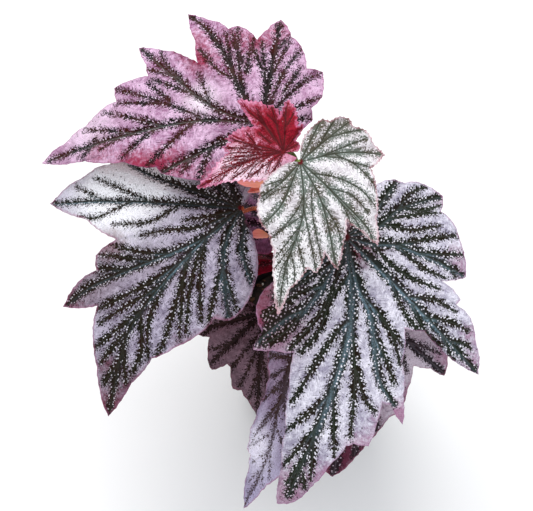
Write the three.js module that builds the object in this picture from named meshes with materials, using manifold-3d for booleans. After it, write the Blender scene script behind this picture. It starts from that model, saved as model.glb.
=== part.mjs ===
// A potted rex begonia: a cane and a side shoot stand in the soil of a plain nursery pot and carry
// ten lobed, toothed leaves, each a thin blade on its own stalk, with papery stipules at the upper nodes.
// Millimetres, +Z up. The origin is the centre of the pot's flat underside. The plant leans and faces -Y.
import * as THREE from "three";
import { mergeVertices } from "three/addons/utils/BufferGeometryUtils.js";
import Module from "manifold-3d";

// Pot: a thin moulded cone with a rim band, a flat bottom and a ring of drain holes.
const POT_HEIGHT = 90;
const POT_TOP_RADIUS = 51;
const POT_BASE_RADIUS = 36;
const POT_WALL = 1.5;
const POT_FLOOR = 2;
const RIM_HEIGHT = 11;
const RIM_PROUD = 1.5;
const RIM_ROUND = 0.8;
const POT_SIDES = 40;
const DRAIN_COUNT = 6;
const DRAIN_RADIUS = 4;
const DRAIN_RING_RADIUS = 25;
const DRAIN_SIDES = 12;
const BOTTOM_BEVEL = 1;

// Soil: fills the pot to just under the rim, with a slightly domed, lumpy top.
const SOIL_LEVEL = 77;
const SOIL_DOME = 2.5;
const SOIL_LUMP = 0.45;
const SOIL_FINE_WAVE = 3.4;
const SOIL_COARSE_WAVE = 5.6;
const SOIL_RINGS = 6;

// Every piece keeps this gap to the piece that carries it.
const SEAT_GAP = 0.3;

// Vertices nearer than this are one when a surface is closed for cutting.
const MERGE_DISTANCE = 1e-4;

// Blades: thickness, the ribs under them, the height of the waves, and the longest step along a margin.
const BLADE_THICKNESS = 0.8;
const RIB_DEPTH = 0.7;
const FEWEST_RINGS = 3;
const MARGIN_STEP = 10;
const MARGIN_BULGE = 0.05;
const RING_SPACING = 20;

// Stems and stalks.
const CANE_BASE_RADIUS = 4;
const CANE_TIP_RADIUS = 2.4;
const SHOOT_BASE_RADIUS = 3;
const SHOOT_TIP_RADIUS = 2.2;
const NODE_SWELL = 0.7;
const STALK_FOOT_RADIUS = 1.9;
const STALK_RADIUS = 1.05;
const STALK_LANDING = 6;
const STEM_SIDES = 10;
const STEM_STEPS_PER_NODE = 5;
const STALK_SIDES = 8;
const STALK_STEPS = 12;

const COLOUR = {
  pot: 0x1b1b1d,
  soil: 0x2c211b,
  cane: 0x6e4a35,
  stalk: 0xb0623a,
  stipule: 0xeea584,
};

// The cane and the shoot, from inside the soil to the tip. Each point is [x, y, z].
const CANE_PATH = [
  [-4, -2, 46], [-4, -2, 78], [-10, 4, 116], [-16, 9, 148], [-24, 18, 180], [-22, 30, 205], [-16, 38, 221],
];
const SHOOT_PATH = [[9, -8, 52], [9, -8, 78], [8, -10, 93], [11, -9, 108]];

// A margin is a list of points round the blade, each at a bearing in degrees from the leaf's own heading
// (anticlockwise from above) and at a reach in mm from the stalk's landing. The list starts and ends beside
// the sinus, the open wedge at the stalk. Tips end a main vein, notches lie between two lobes.
const point = (kind) => (bearing, reach) => ({ kind, bearing, reach });
const tip = point("tip");
const notch = point("notch");
const tooth = point("tooth");
const edge = point("edge");

// Each leaf: where its stalk lands, its heading in degrees from +X, how far it dips forwards (pitch) and
// lifts its left side (roll), the radii of its droop along and across the heading, its wave height, its
// colour, the points of its stalk from the stem up to the landing, and its margin.
const LEAVES = {
  upper_left: {
    at: [-29, 54, 213],
    heading: 190,
    pitch: 4,
    roll: -14,
    droop: [260, 280],
    wave: 1.6,
    colour: 0xc59bc0,
    stalk: [[-24, 22, 190], [-23, 40, 196], [-27, 51, 204]],
    margin: [
      edge(-203, 20), tip(-184, 27), notch(-173, 27), tooth(-165, 35), tip(-147, 45), notch(-138, 39),
      tooth(-127, 49), edge(-118, 55), tip(-110, 66), edge(-104, 56), notch(-98, 49), tooth(-88, 60),
      notch(-83, 59), edge(-77, 69), tip(-70, 82), edge(-65, 62), notch(-57, 49), edge(-52, 69),
      tip(-47, 86), edge(-42, 74), notch(-37, 68), tip(-29, 86), edge(-24, 82), tooth(-20, 90),
      tooth(-15, 97), edge(-10, 110), tip(-6, 126), edge(-3, 98), edge(2, 75), tooth(8, 65),
      notch(10, 59), tip(14, 58), tooth(43, 37), tooth(66, 25), edge(88, 8),
    ],
  },
  left: {
    at: [-40, 23, 181],
    heading: 226,
    pitch: 10,
    roll: -12,
    droop: [230, 260],
    wave: 1.8,
    colour: 0xb9a9b8,
    stalk: [[-17, 11, 153], [-22, 25, 160], [-31, 30, 169]],
    margin: [
      edge(-180, 5), tooth(-167, 14), tooth(-137, 25), tip(-100, 47), notch(-85, 49), tip(-75, 76),
      notch(-67, 76), edge(-59, 91), tip(-50, 109), edge(-44, 85), notch(-33, 68), tooth(-29, 81),
      notch(-24, 84), edge(-23, 96), tip(-19, 111), notch(-13, 92), tooth(-6, 105), edge(0, 115),
      tip(9, 135), edge(10, 112), tooth(12, 93), edge(18, 81), edge(25, 70), edge(28, 65), notch(30, 60),
      tip(38, 60), edge(45, 53), tooth(54, 41), edge(60, 32), edge(65, 19), edge(68, 8),
    ],
  },
  top: {
    at: [-10, 14, 237],
    heading: 262,
    pitch: 14,
    roll: -5,
    droop: [160, 170],
    wave: 1.2,
    colour: 0xd5d2d8,
    stalk: [[-20, 33, 210], [-17, 30, 222], [-13, 22, 231]],
    margin: [
      edge(-81, 5), edge(-62, 13), tooth(-50, 23), notch(-42, 26), tip(-37, 30), tooth(-25, 36),
      edge(-16, 38), tooth(-8, 46), edge(-4, 61), tip(0, 76), edge(3, 63), notch(12, 52), tooth(16, 55),
      notch(23, 46), tip(27, 56), edge(37, 44), notch(46, 36), edge(50, 45), tip(52, 56), edge(62, 47),
      tooth(76, 41), notch(95, 35), tip(108, 44), edge(116, 39), tooth(128, 38), notch(135, 33),
      tip(143, 36), tooth(149, 33), notch(154, 27), tooth(163, 26), edge(179, 14), edge(187, 6),
    ],
  },
  right: {
    at: [14, -2, 193],
    heading: 254,
    pitch: 10,
    roll: -8,
    droop: [210, 230],
    wave: 2,
    colour: 0xcbc0d2,
    stalk: [[-10, 4, 118], [-2, 8, 140], [8, 4, 165]],
    margin: [
      edge(-73, 6), edge(-44, 21), edge(-41, 38), tip(-40, 51), edge(-35, 59), notch(-25, 65),
      tip(-23, 75), edge(-16, 69), notch(-8, 65), edge(-4, 83), edge(-1, 103), edge(1, 124), tip(2, 144),
      edge(4, 143), edge(6, 139), edge(9, 128), edge(12, 117), notch(16, 106), edge(18, 105),
      tooth(22, 107), edge(25, 96), notch(28, 86), edge(31, 89), tip(33, 101), edge(36, 87), edge(40, 70),
      notch(48, 55), edge(57, 63), edge(58, 82), tip(62, 101), edge(69, 87), edge(75, 75), notch(76, 66),
      tooth(79, 67), notch(83, 54), tip(92, 68), tooth(112, 61), notch(125, 54), tip(134, 62),
      tooth(144, 54), notch(151, 45), tooth(157, 45), tooth(168, 33), edge(181, 18), edge(188, 15),
      edge(205, 18), edge(224, 12), edge(248, 8),
    ],
  },
  young: {
    at: [-18, 21, 235],
    heading: 200,
    pitch: 8,
    roll: -10,
    droop: [200, 260],
    wave: 0.8,
    colour: 0xa8304a,
    stalk: [[-17, 37, 219], [-19, 31, 225]],
    margin: [
      edge(-198, 7), tooth(-178, 9), notch(-152, 9), tooth(-146, 18), notch(-137, 15), edge(-131, 20),
      tooth(-125, 25), tip(-115, 30), edge(-111, 25), notch(-105, 19), edge(-102, 25), tip(-98, 28),
      notch(-93, 26), tooth(-89, 30), edge(-81, 34), tip(-74, 39), edge(-72, 31), notch(-67, 19),
      tooth(-58, 24), edge(-48, 28), tip(-39, 31), notch(-37, 26), tooth(-29, 31), notch(-24, 28),
      tooth(-18, 31), tooth(-12, 35), edge(-6, 40), tip(-2, 47), edge(0, 40), tooth(3, 33), edge(10, 25),
      tooth(20, 21), tip(35, 17), edge(45, 14), tooth(61, 9), edge(96, 7), edge(135, 7),
    ],
  },
  low_left: {
    at: [-28, -8, 121],
    heading: 256,
    pitch: 18,
    roll: -4,
    droop: [110, 120],
    wave: 1.2,
    colour: 0x5a4148,
    stalk: [[-6, 0, 93], [-14, 1, 101], [-24, -4, 110]],
    margin: [
      edge(-122, 5), edge(-111, 13), tooth(-101, 23), tooth(-82, 35), tip(-63, 44), notch(-52, 33),
      edge(-41, 39), edge(-34, 43), tip(-29, 44), edge(-25, 39), edge(-22, 35), notch(-18, 35),
      edge(-13, 41), tooth(-9, 46), tooth(-3, 45), edge(3, 51), edge(6, 55), tip(10, 60), edge(15, 56),
      edge(23, 42), tooth(40, 25), tooth(88, 16), tip(131, 18), edge(157, 6),
    ],
  },
  low_front: {
    at: [-6, -28, 137],
    heading: 250,
    pitch: 16,
    roll: 22,
    droop: [260, 60],
    wave: 1.2,
    colour: 0xa795b4,
    stalk: [[7, -10, 92], [3, -15, 105], [-3, -23, 120]],
    margin: [
      edge(-122, 8), edge(-98, 15), tip(-88, 25), edge(-70, 25), edge(-55, 25), edge(-39, 26),
      tooth(-23, 30), notch(-18, 39), edge(-17, 47), edge(-16, 55), edge(-15, 65), tip(-14, 71),
      notch(-10, 72), edge(-9, 80), edge(-8, 90), tip(-7, 102), edge(-4, 96), tooth(-1, 88), edge(1, 84),
      notch(5, 79), tip(13, 69), notch(14, 56), tip(17, 41), tooth(26, 22), edge(41, 11), edge(76, 7),
      edge(120, 6), edge(155, 6),
    ],
  },
  low_right: {
    at: [20, -9, 140],
    heading: 262,
    pitch: 14,
    roll: -5,
    droop: [200, 200],
    wave: 1.5,
    colour: 0x6d4d5d,
    stalk: [[10, -9, 104], [12, -7, 116], [17, -6, 129]],
    margin: [
      edge(-100, 9), edge(-76, 13), tooth(-48, 18), tooth(-26, 29), tip(-13, 62), notch(-6, 79),
      tooth(-1, 95), tip(2, 99), edge(14, 79), edge(25, 68), tip(33, 66), edge(39, 58), notch(50, 49),
      edge(57, 58), tip(59, 67), tooth(67, 63), edge(80, 53), notch(98, 41), tooth(124, 29),
      tooth(157, 15), edge(175, 5),
    ],
  },
  inner: {
    at: [-21, 29, 151],
    heading: 182,
    pitch: 8,
    roll: 6,
    droop: [120, 90],
    wave: 1,
    colour: 0x80506e,
    stalk: [[-13, 7, 134], [-13, 20, 138], [-19, 27, 143]],
    margin: [
      edge(-120, 9), tooth(-91, 18), tooth(-75, 33), tip(-67, 43), notch(-50, 38), tip(-47, 53),
      notch(-29, 44), tip(-18, 51), notch(4, 29), tip(24, 25), tooth(47, 19), edge(60, 18), edge(75, 17),
      edge(90, 12), edge(112, 9),
    ],
  },
  crimson: {
    at: [-19, 20, 129],
    heading: 186,
    pitch: 4,
    roll: 10,
    droop: [90, 70],
    wave: 0.6,
    colour: 0x7a0e26,
    stalk: [[-10, 5, 116], [-13, 14, 118], [-18, 18, 122]],
    margin: [
      edge(-106, 4), tooth(-67, 8), edge(-57, 13), tooth(-49, 19), tip(-38, 25), notch(-15, 24),
      tip(1, 26), tooth(18, 19), edge(32, 11), tooth(50, 7), edge(70, 4),
    ],
  },
};

// Stipules: cupped papery scales beside a node of the cane. Each has its place at the cane, its heading,
// its climb above the level and its roll in degrees, and its length and width.
const STIPULES = {
  stipule_top: { at: [-25, 26, 200], heading: 184, climb: 5, roll: 10, length: 17, width: 10 },
  stipule_middle: { at: [-25, 13, 170], heading: 196, climb: 4, roll: 20, length: 10, width: 8 },
  stipule_small: { at: [-26, 25, 196], heading: 204, climb: 5, roll: 25, length: 11, width: 5 },
};
const STIPULE_THICKNESS = 0.7;
const STIPULE_CUP = 2;
const STIPULE_STEPS = 6;
const STIPULE_HALF_CELLS = 3;
const STIPULE_FOOT_SHARE = 0.06;
const STIPULE_POINT_SHARE = 0.96;
const STIPULE_FULLNESS = 0.7;

const wasm = await Module();
wasm.setup();

const radians = THREE.MathUtils.degToRad;
const vector = ([x, y, z]) => new THREE.Vector3(x, y, z);

// A geometry as a solid for joining and cutting, and back.
function toSolid(geometry) {
  const bare = geometry.clone();
  bare.deleteAttribute("normal");
  bare.deleteAttribute("uv");
  const merged = mergeVertices(bare, MERGE_DISTANCE);
  const vertProperties = new Float32Array(merged.attributes.position.array);
  const triVerts = new Uint32Array(merged.index.array);
  return new wasm.Manifold(new wasm.Mesh({ numProp: 3, vertProperties, triVerts }));
}

function toGeometry(solid) {
  const mesh = solid.getMesh();
  const geometry = new THREE.BufferGeometry();
  geometry.setAttribute("position", new THREE.BufferAttribute(mesh.vertProperties, 3));
  geometry.setIndex(new THREE.BufferAttribute(mesh.triVerts, 1));
  geometry.computeVertexNormals();
  return geometry;
}

// A geometry with the room for each stem cut out of it.
function cutClear(geometry, stems) {
  return toGeometry(stems.reduce((left, stemRoom) => left.subtract(stemRoom), toSolid(geometry)));
}

function fromFaces(points, faces) {
  const geometry = new THREE.BufferGeometry();
  geometry.setAttribute("position", new THREE.Float32BufferAttribute(points.flatMap((p) => p.toArray()), 3));
  geometry.setIndex(faces);
  geometry.computeVertexNormals();
  return geometry;
}

// Rows of points joined into a closed skin: each row is a closed loop of the same count, anticlockwise
// seen from its end, and the first and last rows are closed by a fan round their centre point.
function closedRows(rows) {
  const count = rows[0].length;
  const points = rows.flat();
  const faces = [];
  for (let row = 0; row < rows.length - 1; row++) {
    for (let k = 0; k < count; k++) {
      const a = row * count + k;
      const b = row * count + ((k + 1) % count);
      faces.push(a, b, b + count, a, b + count, a + count);
    }
  }
  const middle = (row) => row.reduce((sum, p) => sum.add(p), new THREE.Vector3()).divideScalar(count);
  const first = points.push(middle(rows[0])) - 1;
  const last = points.push(middle(rows[rows.length - 1])) - 1;
  const top = (rows.length - 1) * count;
  for (let k = 0; k < count; k++) {
    const next = (k + 1) % count;
    faces.push(first, next, k);
    faces.push(last, top + k, top + next);
  }
  return fromFaces(points, faces);
}

// A tube along a smooth curve whose radius changes with the share of the way along it.
function taperedTube(path, radiusAt, sides, steps) {
  const curve = new THREE.CatmullRomCurve3(path);
  const frames = curve.computeFrenetFrames(steps, false);
  const rows = [];
  for (let step = 0; step <= steps; step++) {
    const share = step / steps;
    const centre = curve.getPointAt(share);
    const radius = radiusAt(share);
    const row = [];
    for (let k = 0; k < sides; k++) {
      const turn = (2 * Math.PI * k) / sides;
      const along = frames.normals[step].clone().multiplyScalar(Math.cos(turn) * radius);
      const across = frames.binormals[step].clone().multiplyScalar(Math.sin(turn) * radius);
      row.push(centre.clone().add(along).add(across));
    }
    rows.push(row);
  }
  return closedRows(rows);
}

// A stem thins towards its tip and swells at each of its nodes.
function stem(path, baseRadius, tipRadius, extra) {
  const segments = path.length - 1;
  const points = path.map(vector);
  const lengthen = (end, next) => points[end].clone().sub(points[next]).setLength(extra).add(points[end]);
  const ends = [lengthen(0, 1), lengthen(segments, segments - 1)];
  const whole = [ends[0], ...points.slice(1, -1), ends[1]];
  const radiusAt = (share) => {
    const swell = NODE_SWELL * Math.max(0, Math.cos(2 * Math.PI * segments * share)) ** 3;
    return THREE.MathUtils.lerp(baseRadius, tipRadius, share) + swell + extra;
  };
  return taperedTube(whole, radiusAt, STEM_SIDES, segments * STEM_STEPS_PER_NODE);
}

// The radius of the pot's outer wall at a height, below the rim band.
function outer(z) {
  return THREE.MathUtils.lerp(POT_BASE_RADIUS, POT_TOP_RADIUS, z / POT_HEIGHT);
}

// The pot's profile from the bottom centre up the outside, over the rim and down the inside.
function potProfile() {
  const inner = (z) => outer(z) - POT_WALL;
  const band = POT_HEIGHT - RIM_HEIGHT;
  return [
    [0, 0],
    [outer(0) - BOTTOM_BEVEL, 0],
    [outer(0), BOTTOM_BEVEL],
    [outer(band), band],
    [outer(band) + RIM_PROUD, band],
    [outer(POT_HEIGHT) + RIM_PROUD, POT_HEIGHT - RIM_ROUND],
    [outer(POT_HEIGHT) + RIM_PROUD - RIM_ROUND, POT_HEIGHT],
    [inner(POT_HEIGHT) + RIM_ROUND, POT_HEIGHT],
    [inner(POT_HEIGHT), POT_HEIGHT - RIM_ROUND],
    [inner(POT_FLOOR), POT_FLOOR],
    [0, POT_FLOOR],
  ];
}

function standUp(geometry) {
  return geometry.rotateX(Math.PI / 2);
}

function pot() {
  const profile = potProfile().map(([r, z]) => new THREE.Vector2(r, z));
  let body = toSolid(standUp(new THREE.LatheGeometry(profile, POT_SIDES)));
  for (let k = 0; k < DRAIN_COUNT; k++) {
    const turn = (2 * Math.PI * k) / DRAIN_COUNT;
    const hole = standUp(new THREE.CylinderGeometry(DRAIN_RADIUS, DRAIN_RADIUS, 4 * POT_FLOOR, DRAIN_SIDES));
    hole.translate(DRAIN_RING_RADIUS * Math.cos(turn), DRAIN_RING_RADIUS * Math.sin(turn), 0);
    body = body.subtract(toSolid(hole));
  }
  return toGeometry(body);
}

// The lumps are two crossings of waves, so the soil looks loose but is the same each time.
function soilHeight(x, y) {
  const dome = SOIL_DOME * (1 - (x * x + y * y) / POT_TOP_RADIUS ** 2);
  const fine = Math.sin(x / SOIL_FINE_WAVE + 1) * Math.cos(y / SOIL_FINE_WAVE);
  const coarse = Math.sin((x + 2 * y) / SOIL_COARSE_WAVE) * Math.cos((x - y) / SOIL_COARSE_WAVE);
  return SOIL_LEVEL + dome + SOIL_LUMP * (fine + coarse);
}

function soil(stems) {
  const radius = (z) => outer(z) - POT_WALL - 2 * SEAT_GAP;
  const ring = (r, heightAt) =>
    Array.from({ length: POT_SIDES }, (_, k) => {
      const turn = (2 * Math.PI * k) / POT_SIDES;
      const x = r * Math.cos(turn);
      const y = r * Math.sin(turn);
      return new THREE.Vector3(x, y, heightAt(x, y));
    });
  const bottom = POT_FLOOR + SEAT_GAP;
  const rows = [ring(radius(bottom), () => bottom)];
  for (let step = SOIL_RINGS; step > 0; step--) {
    rows.push(ring((radius(SOIL_LEVEL) * step) / SOIL_RINGS, soilHeight));
  }
  return cutClear(closedRows(rows), stems);
}

// The leaf's own axes: forwards along the heading, left across it, and the blade's upward normal.
function leafAxes({ heading, pitch, roll }) {
  const h = radians(heading);
  const p = radians(pitch);
  const r = radians(roll);
  const level = new THREE.Vector3(Math.cos(h), Math.sin(h), 0);
  const left = new THREE.Vector3(-Math.sin(h), Math.cos(h), 0);
  const up = new THREE.Vector3(0, 0, 1);
  const forward = level.clone().multiplyScalar(Math.cos(p)).addScaledVector(up, -Math.sin(p));
  const tilted = level.multiplyScalar(Math.sin(p)).addScaledVector(up, Math.cos(p));
  const across = left.clone().multiplyScalar(Math.cos(r)).addScaledVector(tilted, Math.sin(r));
  const normal = left.multiplyScalar(-Math.sin(r)).addScaledVector(tilted, Math.cos(r));
  return { forward, across, normal };
}

// A flat point (x forwards, y left) laid on the drooping blade and lifted by a height: the blade is an arc
// along the heading, and every cross line is an arc that hangs down from it on both sides.
function onBlade(leaf, axes, x, y, height) {
  const [along, sideways] = leaf.droop;
  const a = x / along;
  const b = y / sideways;
  const ridge = axes.forward.clone().multiplyScalar(Math.sin(a)).addScaledVector(axes.normal, Math.cos(a));
  const normal = ridge.clone().multiplyScalar(Math.cos(b)).addScaledVector(axes.across, Math.sin(b));
  return vector(leaf.at)
    .addScaledVector(axes.forward, along * Math.sin(a))
    .addScaledVector(axes.normal, -along * (1 - Math.cos(a)))
    .addScaledVector(axes.across, sideways * Math.sin(b))
    .addScaledVector(ridge, -sideways * (1 - Math.cos(b)))
    .addScaledVector(normal, height);
}

// How far a bearing lies from the veins: +1 on the vein of a tip, -1 in the notch beside it.
function waveAt(margin, bearing) {
  const turns = margin.filter((p) => p.kind === "tip" || p.kind === "notch");
  const after = turns.findIndex((p) => p.bearing >= bearing);
  if (after <= 0) {
    return 0;
  }
  const [from, to] = [turns[after - 1], turns[after]];
  const share = (bearing - from.bearing) / (to.bearing - from.bearing || 1);
  const level = (p) => (p.kind === "tip" ? 1 : -1);
  return THREE.MathUtils.lerp(level(from), level(to), (1 - Math.cos(Math.PI * share)) / 2);
}

// The margin as flat points, with each stretch between two listed points bulged slightly outwards.
function marginPoints(margin) {
  const flat = ({ bearing, reach }) =>
    new THREE.Vector2(reach * Math.cos(radians(bearing)), reach * Math.sin(radians(bearing)));
  const points = [];
  margin.forEach((from, k) => {
    const start = flat(from);
    const isRib = from.kind === "tip";
    points.push({ at: start, bearing: from.bearing, isRib });
    if (k === margin.length - 1) {
      return;
    }
    const to = margin[k + 1];
    const step = flat(to).sub(start);
    const length = step.length();
    const outwards = new THREE.Vector2(step.y, -step.x).multiplyScalar(MARGIN_BULGE);
    const pieces = Math.ceil(length / MARGIN_STEP);
    for (let piece = 1; piece < pieces; piece++) {
      const share = piece / pieces;
      const bulge = 4 * share * (1 - share);
      const at = start.clone().addScaledVector(step, share).addScaledVector(outwards, bulge);
      points.push({ at, bearing: THREE.MathUtils.lerp(from.bearing, to.bearing, share), isRib: false });
    }
  });
  return points;
}

// A blade: rays from the stalk's landing to the margin, crossed by rings. Both faces share one pattern of
// triangles. Lobes hang down along their veins and rise in between, and a rib stands out under each vein.
function blade(leaf) {
  const axes = leafAxes(leaf);
  const margin = marginPoints(leaf.margin);
  const reach = Math.max(...leaf.margin.map((p) => p.reach));
  const rings = Math.max(FEWEST_RINGS, Math.round(reach / RING_SPACING));
  const points = [];
  const place = (x, y, lift, rib) => {
    points.push(onBlade(leaf, axes, x, y, lift));
    points.push(onBlade(leaf, axes, x, y, lift - BLADE_THICKNESS - rib));
  };
  place(0, 0, 0, RIB_DEPTH);
  for (let ring = 1; ring <= rings; ring++) {
    const share = ring / rings;
    for (const { at, bearing, isRib } of margin) {
      const lift = -leaf.wave * share * share * waveAt(leaf.margin, bearing);
      place(at.x * share, at.y * share, lift, isRib ? RIB_DEPTH * (1 - share) : 0);
    }
  }
  const above = (ring, ray) => (ring === 0 ? 0 : 2 * (1 + (ring - 1) * margin.length + ray));
  const faces = [];
  const both = (a, b, c) => faces.push(a, b, c, a + 1, c + 1, b + 1);
  const wall = (a, b) => faces.push(a, a + 1, b + 1, a, b + 1, b);
  for (let ray = 0; ray < margin.length - 1; ray++) {
    both(above(0, 0), above(1, ray), above(1, ray + 1));
    for (let ring = 1; ring < rings; ring++) {
      both(above(ring, ray), above(ring + 1, ray), above(ring + 1, ray + 1));
      both(above(ring, ray), above(ring + 1, ray + 1), above(ring, ray + 1));
    }
    wall(above(rings, ray), above(rings, ray + 1));
  }
  for (let ring = 0; ring < rings; ring++) {
    wall(above(ring, 0), above(ring + 1, 0));
    wall(above(ring + 1, margin.length - 1), above(ring, margin.length - 1));
  }
  return fromFaces(points, faces);
}

// A stalk leaves its stem, thins, and lands square under the blade, a seat gap below its ribs.
function stalk(leaf, stems) {
  const { normal } = leafAxes(leaf);
  const under = (depth) => vector(leaf.at).addScaledVector(normal, -depth);
  const top = BLADE_THICKNESS + RIB_DEPTH + SEAT_GAP;
  const path = [...leaf.stalk.map(vector), under(top + STALK_LANDING), under(top)];
  const radiusAt = (share) => THREE.MathUtils.lerp(STALK_FOOT_RADIUS, STALK_RADIUS, Math.min(1, 2.5 * share));
  return cutClear(taperedTube(path, radiusAt, STALK_SIDES, STALK_STEPS), stems);
}

// A stipule: a pointed scale, cupped from side to side and towards its point. Each row of its skin runs
// along the lower face and back along the upper face, from the foot to the point.
function stipule({ at, heading, climb, roll, length, width }, stems) {
  const axes = leafAxes({ heading, pitch: -climb, roll });
  const cells = Array.from({ length: 2 * STIPULE_HALF_CELLS + 1 }, (_, k) => k / STIPULE_HALF_CELLS - 1);
  const rows = [];
  for (let step = 0; step <= STIPULE_STEPS; step++) {
    const share = THREE.MathUtils.lerp(STIPULE_FOOT_SHARE, STIPULE_POINT_SHARE, step / STIPULE_STEPS);
    const side = Math.sin(Math.PI * share) ** STIPULE_FULLNESS;
    const place = (cell, depth) =>
      vector(at)
        .addScaledVector(axes.forward, length * share)
        .addScaledVector(axes.across, (width / 2) * side * cell)
        .addScaledVector(axes.normal, STIPULE_CUP * ((side * cell) ** 2 + share ** 2) - depth);
    const lower = cells.map((cell) => place(cell, STIPULE_THICKNESS));
    const upper = cells.map((cell) => place(-cell, 0));
    rows.push([...lower, ...upper]);
  }
  return cutClear(closedRows(rows), stems);
}

function finish(colour, roughness) {
  return new THREE.MeshStandardMaterial({ color: colour, roughness, metalness: 0 });
}

const group = new THREE.Group();

function addPiece(name, geometry, material) {
  const mesh = new THREE.Mesh(geometry, material);
  mesh.name = name;
  group.add(mesh);
}

const cane = (extra) => stem(CANE_PATH, CANE_BASE_RADIUS, CANE_TIP_RADIUS, extra);
const shoot = (extra) => stem(SHOOT_PATH, SHOOT_BASE_RADIUS, SHOOT_TIP_RADIUS, extra);
const clearances = [toSolid(cane(SEAT_GAP)), toSolid(shoot(SEAT_GAP))];

addPiece("pot", pot(), finish(COLOUR.pot, 0.5));
addPiece("soil", soil(clearances), finish(COLOUR.soil, 0.95));
addPiece("cane", cane(0), finish(COLOUR.cane, 0.6));
addPiece("side_shoot", shoot(0), finish(COLOUR.cane, 0.6));
for (const [place, leaf] of Object.entries(LEAVES)) {
  addPiece(`blade_${place}`, blade(leaf), finish(leaf.colour, 0.45));
  addPiece(`stalk_${place}`, stalk(leaf, clearances), finish(COLOUR.stalk, 0.5));
}
for (const [name, shape] of Object.entries(STIPULES)) {
  addPiece(name, stipule(shape, clearances), finish(COLOUR.stipule, 0.6));
}

export default group;
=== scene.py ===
"""A potted rex begonia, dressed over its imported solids.

Each leaf is worked out on a grid of rays and rings: a drooping blade with the grooves of its vein network,
puffed skin between them, a toothed margin and ribs underneath. Its values (how far a point lies from the
bands along the veins, from the margin and so on) go with the mesh, and its finish draws the pattern from
them. Lengths are millimetres until a mesh is made, and +Z is up. The origin is the centre of the pot's
flat underside, and the plant leans and faces -Y.
"""
import logging
import math
from dataclasses import dataclass, field
from enum import Enum
from functools import partial
from itertools import combinations
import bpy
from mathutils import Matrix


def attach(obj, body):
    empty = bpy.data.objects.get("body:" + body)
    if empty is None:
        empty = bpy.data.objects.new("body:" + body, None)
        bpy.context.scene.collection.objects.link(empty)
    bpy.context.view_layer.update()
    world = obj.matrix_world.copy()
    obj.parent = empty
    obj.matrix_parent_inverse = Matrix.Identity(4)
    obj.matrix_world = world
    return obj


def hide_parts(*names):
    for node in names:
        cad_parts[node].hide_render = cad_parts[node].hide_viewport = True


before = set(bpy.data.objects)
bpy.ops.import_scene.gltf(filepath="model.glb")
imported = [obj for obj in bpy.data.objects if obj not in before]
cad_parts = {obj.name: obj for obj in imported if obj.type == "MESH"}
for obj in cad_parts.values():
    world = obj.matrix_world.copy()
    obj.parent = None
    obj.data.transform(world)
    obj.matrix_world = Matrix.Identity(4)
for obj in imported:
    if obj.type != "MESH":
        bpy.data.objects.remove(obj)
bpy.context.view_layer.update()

from types import SimpleNamespace
from typing import Callable, NamedTuple

import bpy
import numpy as np
from mathutils import Vector

MM = 0.001
UP = np.array([0.0, 0.0, 1.0])
# Random nets read their values from a table by a hash of the cell: its steps x the primes, over the size.
NET_SIZE = 4096
NET_PRIMES = np.array([73, 157, 311])
Array = np.ndarray
log = logging.getLogger("potted_begonia")


# ---------------------------------------------------------------- numbers and shapes

def linear(code: str) -> tuple[float, float, float, float]:
    """Turns an sRGB hex colour into linear values.

    Args:
        code: six hex digits, with or without a leading #.

    Returns:
        Red, green, blue and a full alpha.
    """
    parts = [int(code.lstrip("#")[k:k + 2], 16) / 255 for k in (0, 2, 4)]
    red, green, blue = (p / 12.92 if p <= 0.04045 else ((p + 0.055) / 1.055) ** 2.4 for p in parts)
    return red, green, blue, 1.0


def ease(low: float, high: float, x: Array) -> Array:
    """Smooth step: 0 at low, 1 at high, with level ends (3s^2 - 2s^3)."""
    s = np.clip((x - low) / (high - low), 0, 1)
    return s * s * (3 - 2 * s)


def unit(v: Array) -> Array:
    """Vectors along the last axis, made one long."""
    return v / np.maximum(np.linalg.norm(v, axis=-1, keepdims=True), 1e-9)


def polar(bearing: float, reach: float) -> Array:
    """A flat point at a bearing in degrees and a reach in mm from the stalk's landing."""
    turn = math.radians(bearing)
    return np.array([reach * math.cos(turn), reach * math.sin(turn)])


def soft_noise(points: Array, size: float, seed: int) -> Array:
    """Smooth random heights: random values at the corners of a net, eased between the corners.

    Args:
        points: n x 2 or n x 3 points in mm.
        size: the net's spacing in mm.
        seed: picks the net.

    Returns:
        n values from -1 to 1.
    """
    table = np.random.default_rng(seed).uniform(-1, 1, NET_SIZE)
    scaled = points / size
    corner = np.floor(scaled).astype(int)
    share = scaled - corner
    share = share * share * (3 - 2 * share)
    depth = points.shape[1]
    total = np.zeros(len(points))
    for code in range(2 ** depth):
        step = np.array([code >> k & 1 for k in range(depth)])
        weight = np.prod(np.where(step, share, 1 - share), axis=1)
        total += weight * table[((corner + step) @ NET_PRIMES[:depth]) % NET_SIZE]
    return total


def seam_gap(points: Array, size: float, seed: int) -> Array:
    """How far a point lies inside its cell of a jittered net: the gap between its second nearest and its
    nearest centre, over the net's spacing.

    Args:
        points: n x 2 flat points in mm.
        size: the net's spacing in mm.
        seed: picks the net.

    Returns:
        n values, 0 on the seam between two cells.
    """
    jitter = np.random.default_rng(seed).uniform(0.1, 0.9, (NET_SIZE, 2))
    scaled = points / size
    corner = np.floor(scaled).astype(int)
    nearest, second = np.full((2, len(points)), 9.0)
    for step in [(x, y) for x in (-1, 0, 1) for y in (-1, 0, 1)]:
        cell = corner + step
        centre = cell + jitter[(cell @ NET_PRIMES[:2]) % NET_SIZE]
        far = np.linalg.norm(scaled - centre, axis=1)
        second = np.minimum(second, np.maximum(nearest, far))
        nearest = np.minimum(nearest, far)
    return second - nearest


def steps_of(line: Array) -> Array:
    """The lengths of a line's straight pieces."""
    return np.linalg.norm(np.diff(line, axis=0), axis=1)


def run_of(line: Array) -> Array:
    """How far each point of a line lies along it."""
    return np.concatenate([[0], np.cumsum(steps_of(line))])


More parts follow.
